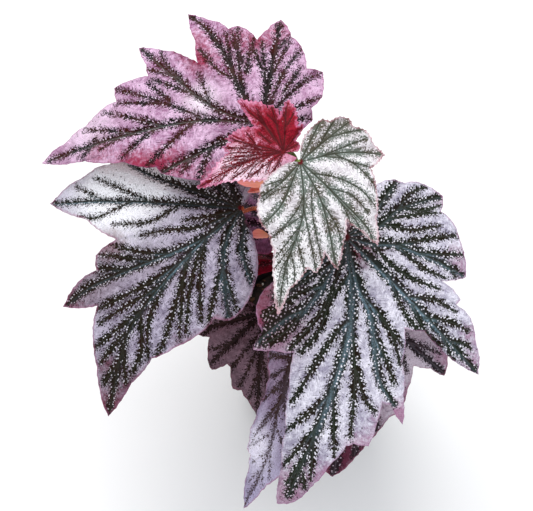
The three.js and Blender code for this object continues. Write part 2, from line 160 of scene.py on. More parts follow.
def turns(count: int) -> Array:
    """Even angles round a circle, in radians."""
    return np.linspace(0, 2 * np.pi, count, endpoint=False)


def rings(turn: Array, first: Array, second: Array) -> Array:
    """Unit circles in the planes of two square directions: cos turn x first + sin turn x second."""
    return np.cos(turn)[None, :, None] * first[:, None] + np.sin(turn)[None, :, None] * second[:, None]


def smooth_path(points: Array, count: int, fineness: int = 24) -> Array:
    """A centripetal Catmull-Rom curve through the points, in even steps of its length.

    Args:
        points: k x d points.
        count: how many points to return.
        fineness: the points worked out between two given ones.

    Returns:
        count x d points.
    """
    points = np.asarray(points, float)
    ends = np.vstack([2 * points[0] - points[1], points, 2 * points[-1] - points[-2]])
    knots = np.concatenate([[0], np.cumsum(steps_of(ends) ** 0.5)])
    rows = []
    for k in range(1, len(ends) - 2):
        t = np.linspace(knots[k], knots[k + 1], fineness)[:, None]
        layer, s = ends[k - 1:k + 3], knots[k - 1:k + 3]
        for width in (1, 2):
            layer = [((s[j + width] - t) * layer[j] + (t - s[j]) * layer[j + 1]) / (s[j + width] - s[j])
                     for j in range(4 - width)]
        rows.append(((s[2] - t) * layer[0] + (t - s[1]) * layer[1]) / (s[2] - s[1]))
    dense = np.vstack(rows)
    run = run_of(dense)
    even = np.linspace(0, run[-1], count)
    return np.stack([np.interp(even, run, dense[:, d]) for d in range(dense.shape[1])], axis=1)


def along_line(points: Array, line: Array) -> tuple[Array, Array, Array, Array]:
    """Where each point lies beside a line of short straight pieces.

    Args:
        points: n x 2 flat points.
        line: k x 2 points of the line.

    Returns:
        The distance, the share of the way along, the signed distance (+ to the left), and the nearest
        point of the line, for each point.
    """
    start, piece = line[:-1], np.diff(line, axis=0)
    length = np.linalg.norm(piece, axis=1)
    offset = points[:, None, :] - start
    share = np.clip(np.einsum("nkd,kd->nk", offset, piece) / length ** 2, 0, 1)
    gap = offset - share[..., None] * piece
    far = np.linalg.norm(gap, axis=2)
    best = np.argmin(far, axis=1)
    row = np.arange(len(points))
    run = np.concatenate([[0], np.cumsum(length)])
    way = (run[best] + share[row, best] * length[best]) / run[-1]
    picked, step = gap[row, best], piece[best] / length[best, None]
    side = np.sign(step[:, 0] * picked[:, 1] - step[:, 1] * picked[:, 0])
    return far[row, best], way, far[row, best] * side, points - picked


def path_frames(path: Array) -> tuple[Array, Array]:
    """Two directions square to a path at each of its points, carried along it without twist.

    Args:
        path: k x 3 points.

    Returns:
        Two k x 3 arrays of unit directions, the second anticlockwise from the first.
    """
    tangent = unit(np.gradient(path, axis=0))
    first = np.empty_like(path)
    start = np.cross(tangent[0], UP if abs(tangent[0][2]) < 0.9 else np.array([1.0, 0, 0]))
    first[0] = unit(start)
    for k in range(1, len(path)):
        first[k] = unit(first[k - 1] - tangent[k] * np.dot(first[k - 1], tangent[k]))
    return first, np.cross(tangent, first)


@dataclass
class Skin:
    """One or more closed surfaces before they become a mesh: points in mm, faces of four and of three
    corners, a material index for each face, flat coordinates and named values for each point."""

    points: Array
    quads: Array
    triangles: Array = field(default_factory=lambda: np.zeros((0, 3), int))
    quad_finish: Array | None = None
    triangle_finish: Array | None = None
    flat: Array | None = None
    values: dict[str, Array] = field(default_factory=dict)

    def joined(self, others: list["Skin"]) -> "Skin":
        """This skin and others as one, without their finishes, flat coordinates and values.

        Args:
            others: the other skins.

        Returns:
            One skin.
        """
        skins = [self, *others]
        starts = np.cumsum([0] + [len(s.points) for s in skins])[:-1]
        return Skin(
            np.vstack([s.points for s in skins]),
            np.vstack([s.quads + at for s, at in zip(skins, starts)]),
            np.vstack([s.triangles + at for s, at in zip(skins, starts)]),
        )

    def to_object(self, name: str, finishes: list[bpy.types.Material], sharp: float = 50) -> bpy.types.Object:
        """Makes the mesh object, at the origin and in metres.

        Args:
            name: the object's name.
            finishes: its materials, in the order of the material indices.
            sharp: edges that turn more than this many degrees are not smoothed over.

        Returns:
            The object, linked to the scene.
        """
        mesh = bpy.data.meshes.new(name)
        mesh.vertices.add(len(self.points))
        mesh.vertices.foreach_set("co", (self.points * MM).astype(np.float32).ravel())
        corners = np.concatenate([self.quads.ravel(), self.triangles.ravel()]).astype(np.int32)
        sizes = np.concatenate([np.full(len(self.quads), 4), np.full(len(self.triangles), 3)])
        mesh.loops.add(len(corners))
        mesh.loops.foreach_set("vertex_index", corners)
        mesh.polygons.add(len(sizes))
        starts = np.concatenate([[0], np.cumsum(sizes)[:-1]]).astype(np.int32)
        mesh.polygons.foreach_set("loop_start", starts)
        if self.quad_finish is not None:
            picked = np.concatenate([self.quad_finish, self.triangle_finish]).astype(np.int32)
            mesh.polygons.foreach_set("material_index", picked)
        mesh.update(calc_edges=True)
        mesh.polygons.foreach_set("use_smooth", np.ones(len(sizes), bool))
        if self.flat is not None:
            layer = mesh.uv_layers.new(name=FLAT_MAP)
            layer.data.foreach_set("uv", (self.flat[corners] * MM).astype(np.float32).ravel())
        for key, value in self.values.items():
            mesh.attributes.new(key, "FLOAT", "POINT").data.foreach_set("value", value.astype(np.float32))
        for finish in finishes:
            mesh.materials.append(finish)
        mesh.set_sharp_from_angle(angle=math.radians(sharp))
        thing = bpy.data.objects.new(name, mesh)
        bpy.context.scene.collection.objects.link(thing)
        return thing


def rows_skin(rows: Array) -> Skin:
    """Rows of points joined into a closed skin. Each row is a closed loop, anticlockwise seen from the
    last row's end, and the first and last rows are closed by a fan round their middle point.

    Args:
        rows: r x c x 3 points.

    Returns:
        The skin.
    """
    count, width = rows.shape[:2]
    index = np.arange(count * width).reshape(count, width)
    turned = np.roll(index, -1, axis=1)
    quads = np.stack([index[:-1], turned[:-1], turned[1:], index[1:]], axis=-1).reshape(-1, 4)
    first, last = count * width, count * width + 1
    foot = np.stack([np.full(width, first), turned[0], index[0]], axis=1)
    head = np.stack([np.full(width, last), index[-1], turned[-1]], axis=1)
    points = np.vstack([rows.reshape(-1, 3), rows[0].mean(axis=0), rows[-1].mean(axis=0)])
    return Skin(points, quads, np.vstack([foot, head]))


def tube_rows(path: Array, radius: Array, sides: int) -> Array:
    """Circles carried along a path: centre + radius x (cos turn x first + sin turn x second).

    Args:
        path: k x 3 points.
        radius: k radii, or k x sides radii.
        sides: points in each circle.

    Returns:
        k x sides x 3 points.
    """
    first, second = path_frames(path)
    radius = np.broadcast_to(np.asarray(radius).reshape(len(path), -1), (len(path), sides))
    return path[:, None] + radius[..., None] * rings(turns(sides), first, second)


def lathe_rows(profile: Array, sides: int) -> Array:
    """A profile of (radius, height) points turned round the Z axis.

    Args:
        profile: k x 2 points, from the foot's outside upwards.
        sides: points in each circle.

    Returns:
        k x sides x 3 points.
    """
    turn = turns(sides)
    x, y = profile[:, :1] * np.cos(turn), profile[:, :1] * np.sin(turn)
    return np.stack([x, y, np.broadcast_to(profile[:, 1:], x.shape)], axis=-1)


def rounded(corners: list[tuple[float, float]], radius: float, steps: int = 4,
            most: float = 1 / 2.2) -> Array:
    """A profile with its inner corners turned into short arcs (a quadratic curve at each corner).

    Args:
        corners: the profile's corners.
        radius: how far from a corner its curve starts, less where an edge is short.
        steps: points in each curve.
        most: the share of an edge that one curve may take.

    Returns:
        k x 2 points.
    """
    points = np.array(corners, float)
    out = [points[:1]]
    for before, corner, after in zip(points[:-2], points[1:-1], points[2:]):
        back, on = before - corner, after - corner
        reach = min(radius, np.linalg.norm(back) * most, np.linalg.norm(on) * most)
        t = np.linspace(0, 1, steps)[:, None]
        start, end = corner + unit(back) * reach, corner + unit(on) * reach
        out.append((1 - t) ** 2 * start + 2 * t * (1 - t) * corner + t ** 2 * end)
    out.append(points[-1:])
    return np.vstack(out)


# ---------------------------------------------------------------- materials

FLAT_MAP = "blade_flat"
Socket = bpy.types.NodeSocket
Adder = Callable[..., Socket]


class Kind(NamedTuple):
    """A kind of node: its type, and the settings that always go with it."""

    node: str
    settings: dict[str, str] = {}


ATTRIBUTE = Kind("ShaderNodeAttribute")
BUMP = Kind("ShaderNodeBump")
COMBINE = Kind("ShaderNodeCombineXYZ")
COORDINATE = Kind("ShaderNodeTexCoord")
LENGTH = Kind("ShaderNodeVectorMath", {"operation": "LENGTH"})
MAPPING = Kind("ShaderNodeMapping")
MIX = Kind("ShaderNodeMixRGB")
NOISE = Kind("ShaderNodeTexNoise")
OUTPUT = Kind("ShaderNodeOutputMaterial")
PRINCIPLED = Kind("ShaderNodeBsdfPrincipled")
RANGE = Kind("ShaderNodeMapRange")
TINT = Kind("ShaderNodeMixRGB", {"blend_type": "MULTIPLY"})
UV_MAP = Kind("ShaderNodeUVMap")
VORONOI = Kind("ShaderNodeTexVoronoi")
ABSOLUTE, ADD, GREATER_THAN, MAXIMUM, MULTIPLY, MULTIPLY_ADD, SUBTRACT = (
    Kind("ShaderNodeMath", {"operation": operation}) for operation in (
        "ABSOLUTE", "ADD", "GREATER_THAN", "MAXIMUM", "MULTIPLY", "MULTIPLY_ADD", "SUBTRACT"))


def add_node(tree: bpy.types.NodeTree, kind: Kind, *values: object, out: int | str = 0,
             **named: object) -> Socket | None:
    """Adds one node with its settings, and sets or links its inputs.

    Args:
        tree: the material's node tree.
        kind: the kind of node.
        *values: for its first inputs in order, each a value, an sRGB hex colour or an output to link.
        out: the output to return, by name or number.
        **named: its other settings, and inputs by name, with a capital first and _ for each space.

    Returns:
        The chosen output, or None for a node that has none.
    """
    node = tree.nodes.new(kind.node)
    inputs = dict(enumerate(values))
    for key, value in {**kind.settings, **named}.items():
        if key[0].isupper():
            inputs[key.replace("_", " ")] = value
        else:
            setattr(node, key, value)
    for key, value in inputs.items():
        if isinstance(value, Socket):
            tree.links.new(value, node.inputs[key])
        else:
            node.inputs[key].default_value = linear(value) if isinstance(value, str) else value
    return node.outputs[out] if node.outputs else None


def per_mm(size: float) -> float:
    """The texture scale that gives a pattern a size in mm."""
    return 1 / (size * MM)


def new_material(name: str) -> tuple[bpy.types.Material, Adder]:
    """A material with an empty node tree, and the function that adds nodes to it.

    Args:
        name: the material's name.

    Returns:
        Both.
    """
    material = bpy.data.materials.new(name)
    material.use_nodes = True
    material.node_tree.nodes.clear()
    return material, partial(add_node, material.node_tree)


def surface(add: Adder, skin: Socket, rough: Socket | float, relief: Socket, strength: float, depth: float,
            **more: object) -> None:
    """Ends a material with one shader.

    Args:
        add: adds nodes to the material.
        skin: its colour.
        rough: its roughness.
        relief: the height of its bump.
        strength: the share of the bump that shows.
        depth: the bump's depth in mm.
        **more: other inputs of the shader.
    """
    bump = add(BUMP, Height=relief, Strength=strength, Distance=depth * MM)
    add(OUTPUT, add(PRINCIPLED, Base_Color=skin, Roughness=rough, Normal=bump, **more))


@dataclass(frozen=True)
class BladeFinish:
    """The living skin of one leaf: pearly where air lies under the cuticle, dark along the veins.

    The pearly parts carry the silver colours, the bands along the veins the dark ones. Both meet in a
    feathered edge, with pale blisters in the dark and dark flecks in the pale. Damp wax gives a satin gloss.
    The blue-grey gleam down the bands is a painted reflection, the dusk patches are mostly painted shade, and
    the frost patches are partly a painted highlight. Sizes and widths are in mm, and a share is how much of
    its pattern shows.
    """

    name: str
    silver: str
    silver_low: str
    dark: str
    dark_low: str
    # The blue-grey of the painted reflection down the bands.
    sheen: str
    line: str
    blush: str
    # White for the blisters and for the frost patches, which are partly a painted highlight.
    frost_and_highlight: str
    rim: str
    under: str
    under_low: str
    under_rib: str = "C08A86"
    # The pearl's colour in the dusk patches: mostly painted shade, partly a duller tone of the leaf's own.
    dusk: str = "7A6468"
    ember: str = "8A1C34"
    landing: str = "7A1018"
    landing_size: float = 2.8
    ragged: float = 1.0
    blister: float = 1.65
    blister_share: float = 0.75
    fleck_share: float = 0.6
    streak_share: float = 0.35
    sweep: float = 1.0
    gleam_reach: float = 1.2
    rim_width: float = 1.1
    rim_share: float = 0.6
    line_share: float = 0.3
    line_width: float = 0.26
    gloss: float = 0.48
    wax: float = 0.12
    refraction: float = 1.42

    def upper(self) -> bpy.types.Material:
        """The upper skin: bands, blisters, flecks, broad patches, the red landing and the coloured rim."""
        material, add = new_material(f"{self.name}_upper_skin")
        at = self.values(add)
        darkness, pale = self.darkness(add, at), self.pearl(add, at)
        skin = add(MIX, darkness, pale, self.band_colour(add, at))
        # Blisters take the frost colour, dimmed in the dusk patches' painted shade.
        spot = add(MIX, add(RANGE, at.dusk, 0, 1, 0.6, 0.3), pale, self.frost_and_highlight)
        skin = self.outlines(add, at, add(MIX, self.blisters(add, at), skin, spot))
        skin = add(TINT, 1.0, skin, add(RANGE, at.grain, 0.3, 0.7, 0.74, 1.14))
        # The pearly skin stands up in small pillows, and the bands lie a little lower and shine more.
        rough = add(RANGE, darkness, 0, 1, self.gloss + 0.1, self.gloss)
        pillow = add(VORONOI, Vector=at.flat, Scale=per_mm(2.1), out="Distance", feature="SMOOTH_F1")
        swell = add(MULTIPLY_ADD, pillow, -1.6, add(MULTIPLY_ADD, darkness, -0.6, at.grain))
        surface(add, skin, rough, swell, 0.7, 0.22, IOR=self.refraction, Specular_IOR_Level=self.wax)
        return material

    def values(self, add: Adder) -> SimpleNamespace:
        """What the layers share: the blade's own values at a point, and noises on its flat map.

        A band's barbs leave the vein forwards at about 45 degrees, or nearly beside it where the sweep is
        small: `swept` is sweep x the way along the vein, less 0.95 x the distance from it. The skin's cells
        are under 0.1 mm, so the grain is drawn at 0.75 mm to show.

        Args:
            add: adds nodes to the material.

        Returns:
            The outputs by name.
        """
        keys = ("band", "along", "lee", "across", "near", "rim", *(kind.value for kind in Patch))
        at = SimpleNamespace(**{key: add(ATTRIBUTE, out="Fac", attribute_name=key) for key in keys})
        at.flat = add(UV_MAP, uv_map=FLAT_MAP)
        at.cloud = add(NOISE, Vector=at.flat, Scale=per_mm(13), Detail=2.0)
        at.mottle = add(NOISE, Vector=at.flat, Scale=per_mm(2.4), Detail=3.0, Roughness=0.6)
        at.grain = add(NOISE, Vector=at.flat, Scale=per_mm(0.75), Detail=2.0)
        at.even = add(NOISE, Vector=at.flat, Scale=per_mm(1.1), Detail=2.0, Roughness=0.65)
        at.patchy = add(ADD, at.mottle, -0.5)
        at.width = add(ABSOLUTE, at.across)
        at.swept = add(MULTIPLY_ADD, at.width, -0.95, add(MULTIPLY, at.along, self.sweep))
        hatching = add(COMBINE, at.swept, add(MULTIPLY, at.width, 0.2))
        at.hatch = add(NOISE, Vector=hatching, Scale=1 / 0.75, Detail=2.0)
        return at

    def darkness(self, add: Adder, at: SimpleNamespace) -> Socket:
        """Where the skin is dark, from 0 to 1: in the bands, the flecks and the hatching.

        Args:
            add: adds nodes to the material.
            at: the values that the layers share.

        Returns:
            The share of the dark colour.
        """
        # The band's edge is its distance, moved in and out by an even noise and by a feathered one.
        barbs = add(COMBINE, at.swept, add(MULTIPLY, at.width, 0.3))
        feather = add(NOISE, Vector=barbs, Scale=1 / 1.5, Detail=1.5)
        edge = add(MULTIPLY_ADD, add(ADD, at.even, -0.5), 4.5 * self.ragged, at.band)
        edge = add(MULTIPLY_ADD, add(ADD, feather, -0.5), 6.0 * self.ragged, edge)
        inside = add(RANGE, edge, 0.2, -0.2)
        # Flecks: dark specks in the pearly skin, thick near the bands and sparse between them.
        moved = add(MAPPING, Vector=at.flat, Location=(0.31, 0.17, 0))
        specks = add(VORONOI, Vector=moved, Scale=per_mm(1.0), out="Distance", voronoi_dimensions="2D")
        often = add(RANGE, at.band, 2.6, 0.1, 1 - 0.12 * self.fleck_share, 1 - self.fleck_share)
        there = add(GREATER_THAN, specks.node.outputs["Color"], often)
        fleck = add(MULTIPLY, add(RANGE, specks, 0.42, 0.28), there)
        # Streaks: fine hatching that runs with the barbs, close near the bands and sparse between them.
        streak = add(SUBTRACT, at.hatch, add(RANGE, at.band, 0.0, 4.0, 0.5, 0.64))
        streak = add(RANGE, streak, 0.0, 0.07, 0, self.streak_share)
        return add(MAXIMUM, add(MAXIMUM, inside, fleck), streak)

    def blisters(self, add: Adder, at: SimpleNamespace) -> Socket:
        """Where a blister stands: pale dots just under 1 mm across, close together all over the bands.

        Args:
            add: adds nodes to the material.
            at: the values that the layers share.

        Returns:
            The share of the blisters' colour.
        """
        dots = add(VORONOI, Vector=at.flat, Scale=per_mm(self.blister), Randomness=0.85, out="Distance",
                   voronoi_dimensions="2D")
        seldom = add(RANGE, at.band, -3.2, -1.6, 1 - 0.85 * self.blister_share, 1 - self.blister_share)
        chosen = add(GREATER_THAN, dots.node.outputs["Color"], seldom)
        size = add(RANGE, at.mottle, 0.35, 0.65, -0.07, 0.08)
        dot = add(RANGE, add(ADD, dots, size), 0.29, 0.2)
        off_vein = add(RANGE, at.width, 0.45, 0.85)
        blister = add(MULTIPLY, add(MULTIPLY, dot, chosen), off_vein)
        return add(MULTIPLY, blister, add(RANGE, at.band, 0.7, -0.1))

    def pearl(self, add: Adder, at: SimpleNamespace) -> Socket:
        """The pearly colour in broad patches: frosted (partly a painted highlight), blushed, darkened in
        painted shade (the dusk patches, partly a duller tone of the leaf's own) and reddened.

        Args:
            add: adds nodes to the material.
            at: the values that the layers share.

        Returns:
            The colour.
        """
        tone = add(MULTIPLY_ADD, at.hatch, 0.6, add(ADD, at.cloud, at.mottle))
        pale = add(MIX, add(RANGE, tone, 1.08, 1.55), self.silver, self.silver_low)
        # The frost patches whiten the pearl, partly as a painted highlight.
        frost_and_highlight_share = add(MULTIPLY_ADD, at.patchy, 1.6, at.frost_and_highlight, use_clamp=True)
        pale = add(MIX, add(MULTIPLY, frost_and_highlight_share, at.frost_and_highlight, use_clamp=True), pale, self.frost_and_highlight)
        blushed = add(MULTIPLY_ADD, at.patchy, 1.6, at.blush, use_clamp=True)
        pale = add(MIX, add(MULTIPLY, blushed, add(RANGE, at.blush, 0, 0.25)), pale, self.blush)
        # The dusk patches paint shade on the pearl, partly a duller tone of the leaf's own.
        pale = add(MIX, add(MULTIPLY, at.dusk, 0.75, use_clamp=True), pale, self.dusk)
        glow = add(MULTIPLY_ADD, at.patchy, 1.2, at.ember, use_clamp=True)
        return add(MIX, add(MULTIPLY, glow, add(RANGE, at.ember, 0, 0.2)), pale, self.ember)

    def band_colour(self, add: Adder, at: SimpleNamespace) -> Socket:
        """The dark colour, browner in random patches and in painted shade, with a painted blue-grey
        reflection (a gleam) down the middle of the bands.

        Args:
            add: adds nodes to the material.
            at: the values that the layers share.

        Returns:
            The colour.
        """
        # The bands go browner in a random cloud, and in the dusk patches as painted shade.
        deep = add(MAXIMUM, add(RANGE, at.cloud, 0.42, 0.6), at.dusk)
        dim = add(MIX, add(MAXIMUM, deep, at.ember, use_clamp=True), self.dark, self.dark_low)
        # Painted reflection: a blue-grey gleam of the sky on the side of each main band that faces the key
        # light, strongest down its middle and where the gleam patches lie.
        slope = add(RANGE, at.lee, -0.2, 0.5, 0.12, 1.0)
        middle = add(RANGE, at.width, self.gleam_reach, 0.4 * self.gleam_reach)
        gleam = add(MULTIPLY, add(MULTIPLY, slope, middle), at.gleam)
        gleam = add(MULTIPLY, gleam, add(RANGE, at.even, 0.35, 0.6, 0.3), use_clamp=True)
        return add(MIX, gleam, dim, self.sheen)

    def outlines(self, add: Adder, at: SimpleNamespace, skin: Socket) -> Socket:
        """Lays on the skin the thin line of each vein, the coloured rim and the red landing.

        Args:
            add: adds nodes to the material.
            at: the values that the layers share.
            skin: the colour so far.

        Returns:
            The colour with all three.
        """
        line = add(RANGE, at.width, self.line_width + 0.2, self.line_width - 0.15, 0, self.line_share)
        line = add(MULTIPLY, line, add(RANGE, at.near, 1.6, 1.0))
        fringe = add(MULTIPLY_ADD, at.patchy, 3.0, at.rim)
        fringe = add(RANGE, fringe, self.rim_width, 0.2 * self.rim_width, 0, self.rim_share)
        size = self.landing_size * MM
        centre = add(RANGE, add(LENGTH, at.flat, out="Value"), size, 0.45 * size)
        for share, colour in ((line, self.line), (fringe, self.rim), (centre, self.landing)):
            skin = add(MIX, share, skin, colour)
        return skin

    def lower(self) -> bpy.types.Material:
        """The lower skin: matt, wine red to green, with paler ribs and a down drawn coarse, at 0.6 mm."""
        material, add = new_material(f"{self.name}_lower_skin")
        flat = add(UV_MAP, uv_map=FLAT_MAP)
        near = add(ATTRIBUTE, out="Fac", attribute_name="near")
        cloud = add(NOISE, Vector=flat, Scale=per_mm(9), Detail=3.0)
        down = add(NOISE, Vector=flat, Scale=per_mm(0.6), Detail=2.0)
        skin = add(MIX, add(RANGE, cloud, 0.38, 0.62), self.under, self.under_low)
        skin = add(MIX, add(RANGE, near, 1.3, 0.4, 0, 0.6), skin, self.under_rib)
        skin = add(TINT, 1.0, skin, add(RANGE, down, 0.3, 0.7, 0.8, 1.15))
        surface(add, skin, 0.6, down, 0.5, 0.15, IOR=self.refraction)
        return material


@dataclass(frozen=True)
class StemFinish:
    """Succulent stem and stalk skin: two tones drawn out lengthwise, pale breathing dots, a wet satin."""

    name: str
    tone: str
    tone_low: str
    dot: str
    dot_size: float = 1.7
    gloss: float = 0.38

    def build(self) -> bpy.types.Material:
        """Streaks from a noise stretched along Z, dots from a jittered net."""
        material, add = new_material(self.name)
        place = add(COORDINATE, out="Object")
        drawn = add(MAPPING, Vector=place, Scale=(1, 1, 0.22))
        cloud = add(NOISE, Vector=drawn, Scale=per_mm(3.2), Detail=4.0)
        fine = add(NOISE, Vector=drawn, Scale=per_mm(0.7), Detail=2.0)
        dots = add(VORONOI, Vector=place, Scale=per_mm(self.dot_size), out="Distance")
        skin = add(MIX, add(RANGE, cloud, 0.36, 0.64), self.tone, self.tone_low)
        skin = add(MIX, add(RANGE, dots, 0.3, 0.18, 0, 0.75), skin, self.dot)
        rough = add(RANGE, cloud, 0.3, 0.7, self.gloss, self.gloss + 0.18)
        surface(add, skin, rough, fine, 0.4, 0.2, IOR=1.42)
        return material


@dataclass(frozen=True)
class StipuleFinish:
    """Papery scale: salmon at the foot, pinker to the point, with fine lengthwise nerves."""

    name: str = "papery_scale_skin"
    foot: str = "F2A67C"
    point: str = "EE8C92"
    nerve: str = "D9745C"

    def build(self) -> bpy.types.Material:
        """The colour follows the way from foot to point, and the nerves its flat width. Light passes in."""
        material, add = new_material(self.name)
        drawn = add(MAPPING, Vector=add(UV_MAP, uv_map=FLAT_MAP), Scale=(0.12, 1, 1))
        nerves = add(NOISE, Vector=drawn, Scale=per_mm(0.7), Detail=2.0)
        skin = add(MIX, add(ATTRIBUTE, out="Fac", attribute_name="way"), self.foot, self.point)
        skin = add(MIX, add(RANGE, nerves, 0.5, 0.68, 0, 0.6), skin, self.nerve)
        surface(add, skin, 0.5, nerves, 0.4, 0.15, Subsurface_Weight=0.25, Subsurface_Radius=(1.0, 0.4, 0.25),
                Subsurface_Scale=1.2 * MM)
        return material


@dataclass(frozen=True)
class PotFinish:
    """Moulded polypropylene: near black, satin, with the mould's fine stipple and a trace of dried water."""

    name: str = "moulded_polypropylene"
    tone: str = "17181A"
    worn: str = "26272A"
    lime: str = "5E5B55"

    def build(self) -> bpy.types.Material:
        """A soft cloud of wear, pale runs of lime down the wall, and a stipple drawn coarse, at 0.8 mm."""
        material, add = new_material(self.name)
        place = add(COORDINATE, out="Object")
        cloud = add(NOISE, Vector=place, Scale=per_mm(22), Detail=4.0)
        stipple = add(NOISE, Vector=place, Scale=per_mm(0.8), Detail=2.0)
        drawn = add(MAPPING, Vector=place, Scale=(1, 1, 0.16))
        runs = add(NOISE, Vector=drawn, Scale=per_mm(5), Detail=3.0)
        skin = add(MIX, add(RANGE, cloud, 0.4, 0.65), self.tone, self.worn)
        skin = add(MIX, add(RANGE, runs, 0.62, 0.8, 0, 0.22), skin, self.lime)
        surface(add, skin, add(RANGE, cloud, 0.3, 0.7, 0.36, 0.52), stipple, 0.3, 0.12, IOR=1.49)
        return material


@dataclass(frozen=True)
class GroundFinish:
    """A loose mineral or woody material: two tones in a coarse and a fine noise, matt and rough."""

    name: str
    tone: str
    tone_low: str
    size: float
    fine: float
    rough: float = 0.92
    relief: float = 0.5

    def build(self) -> bpy.types.Material:
        """Both noises mix the tones, and the fine one roughens the surface."""
        material, add = new_material(self.name)
        place = add(COORDINATE, out="Object")
        coarse = add(NOISE, Vector=place, Scale=per_mm(self.size), Detail=4.0)
        fine = add(NOISE, Vector=place, Scale=per_mm(self.fine), Detail=3.0)
        skin = add(MIX, add(RANGE, add(ADD, coarse, fine), 0.8, 1.2), self.tone, self.tone_low)
        surface(add, skin, self.rough, fine, 0.7, self.relief)
        return material


# Peat: fibrous, dark brown, dry and matt. Bark: redder, and paler where it broke.
PEAT = GroundFinish("potting_peat", "2A1E17", "130D0A", 4.0, 0.8)
BARK = GroundFinish("bark_chips", "6B4A33", "2E1D14", 2.4, 0.6)
# Perlite: popped volcanic glass, chalky white.
PERLITE = GroundFinish("perlite_grains", "E6E3DB", "B9B4A8", 1.6, 0.5)
# Stem skins, from the woody cane to the soft green stub under the newest blade. Hairs are pale and dull.
CANE_SKIN = StemFinish("begonia_cane_skin", "6B4630", "7E6A3C", "C9A98B", 2.1, 0.45)
STALK_SKIN = StemFinish("begonia_stalk_skin", "B4532A", "8A3420", "E0A080", 1.5)
GREEN_SKIN = StemFinish("begonia_green_stalk_skin", "5F7A2E", "7D8A3C", "B9B06C", 1.5)
HAIR_SKIN = StemFinish("stalk_hair", "E3CDBD", "C9927C", "F0E4DA", 1.5, 0.6)
STIPULE_SKIN = StipuleFinish()
POT_SKIN = PotFinish()


# ---------------------------------------------------------------- leaf measurements

class Mark(Enum):
    """What a point of a margin is: a tip ends a main vein, and a notch lies between two lobes."""

    TIP = "t"
    NOTCH = "n"
    TOOTH = "o"
    EDGE = "e"


class Patch(Enum):
    """A broad patch of colour on a blade: blush and ember redden it, frost whitens the pearl (partly a
    painted highlight, where a lobe faces the sky or droops away from the light), gleam is a painted
    blue-grey reflection along the main bands, and dusk darkens it (mostly painted shade where a blade lies
    under others, partly a duller tone of its own).
    """

    BLUSH = "blush"
    FROST_AND_HIGHLIGHT = "frost_and_highlight"
    GLEAM = "gleam"
    DUSK = "dusk"
    EMBER = "ember"


def tilted_axes(heading: float, pitch: float, roll: float) -> tuple[Array, Array, Array]:
    """Forwards along the heading, left across it, and the upward normal, after the pitch and the roll.

    Args:
        heading: degrees from +X, anticlockwise.
        pitch: degrees that the front dips.
        roll: degrees that the left side lifts.

    Returns:
        Three unit directions.
    """
    h, p, r = (math.radians(a) for a in (heading, pitch, roll))
    level = np.array([math.cos(h), math.sin(h), 0])
    left = np.array([-math.sin(h), math.cos(h), 0])
    forward = level * math.cos(p) - UP * math.sin(p)
    tilted = level * math.sin(p) + UP * math.cos(p)
    return forward, left * math.cos(r) + tilted * math.sin(r), tilted * math.cos(r) - left * math.sin(r)


def margin_of(text: str) -> list[tuple[Mark, float, float]]:
    """Reads a margin: words of a mark's letter, a bearing in degrees, a colon and a reach in mm."""
    return [(Mark(word[0]), *map(float, word[1:].split(":"))) for word in text.split()]


def vein_of(text: str) -> Array:
    """Reads a vein: words of a bearing in degrees, a colon and a reach in mm from the landing."""
    return np.array([polar(*map(float, word.split(":"))) for word in text.split()])


@dataclass(frozen=True)
class Leaf:
    """The measurements of one leaf.

    Its stalk lands at `at`, its heading is in degrees from +X, it dips forwards by its pitch and lifts its
    left side by its roll, and it droops along and across the heading on two radii. `main` veins start at
    the landing and `side` veins on a main one. A patch is (kind, bearing, reach, radius, strength).
    """

    place: str
    at: tuple[float, float, float]
    heading: float
    pitch: float
    roll: float
    droop: tuple[float, float]
    wave: float
    slot: str
    finish: BladeFinish
    stalk: tuple[tuple[float, float, float], ...]
    margin: str
    main: tuple[str, ...]
    side: tuple[str, ...]
    patches: tuple[tuple[Patch, float, float, float, float], ...] = ()
    band: float = 3.3
    side_band: float = 2.0
    # How strong the painted reflection (the gleam) is all over the blade.
    gleam: float = 0.25
    fold: float = 1.7
    side_fold: float = 0.6
    pucker: float = 0.28
    pucker_size: float = 5.0
    ray_step: float = 1.5
    ring_step: float = 1.45
    tooth_step: float = 5.0
    tooth_height: float = 0.45
    ripple: float = 0.7
    stalk_finish: StemFinish = STALK_SKIN

    def axes(self) -> tuple[Array, Array, Array]:
        """Forwards along the heading, left across it, and the blade's upward normal at the landing."""
        return tilted_axes(self.heading, self.pitch, self.roll)

    def lay(self, flat: Array, height: Array) -> Array:
        """Lays flat points on the drooping blade: an arc along the heading, and cross arcs hung from it.

        Args:
            flat: n x 2 points, x forwards and y left, in mm.
            height: how far each point stands off the blade's own surface.

        Returns:
            n x 3 points.
        """
        forward, across, normal = self.axes()
        along, sideways = self.droop
        a, b = flat[:, :1] / along, flat[:, 1:] / sideways
        ridge = np.sin(a) * forward + np.cos(a) * normal
        outward = np.cos(b) * ridge + np.sin(b) * across
        base = along * (np.sin(a) * forward - (1 - np.cos(a)) * normal)
        cross = sideways * (np.sin(b) * across - (1 - np.cos(b)) * ridge)
        return np.array(self.at) + base + cross + height[:, None] * outward


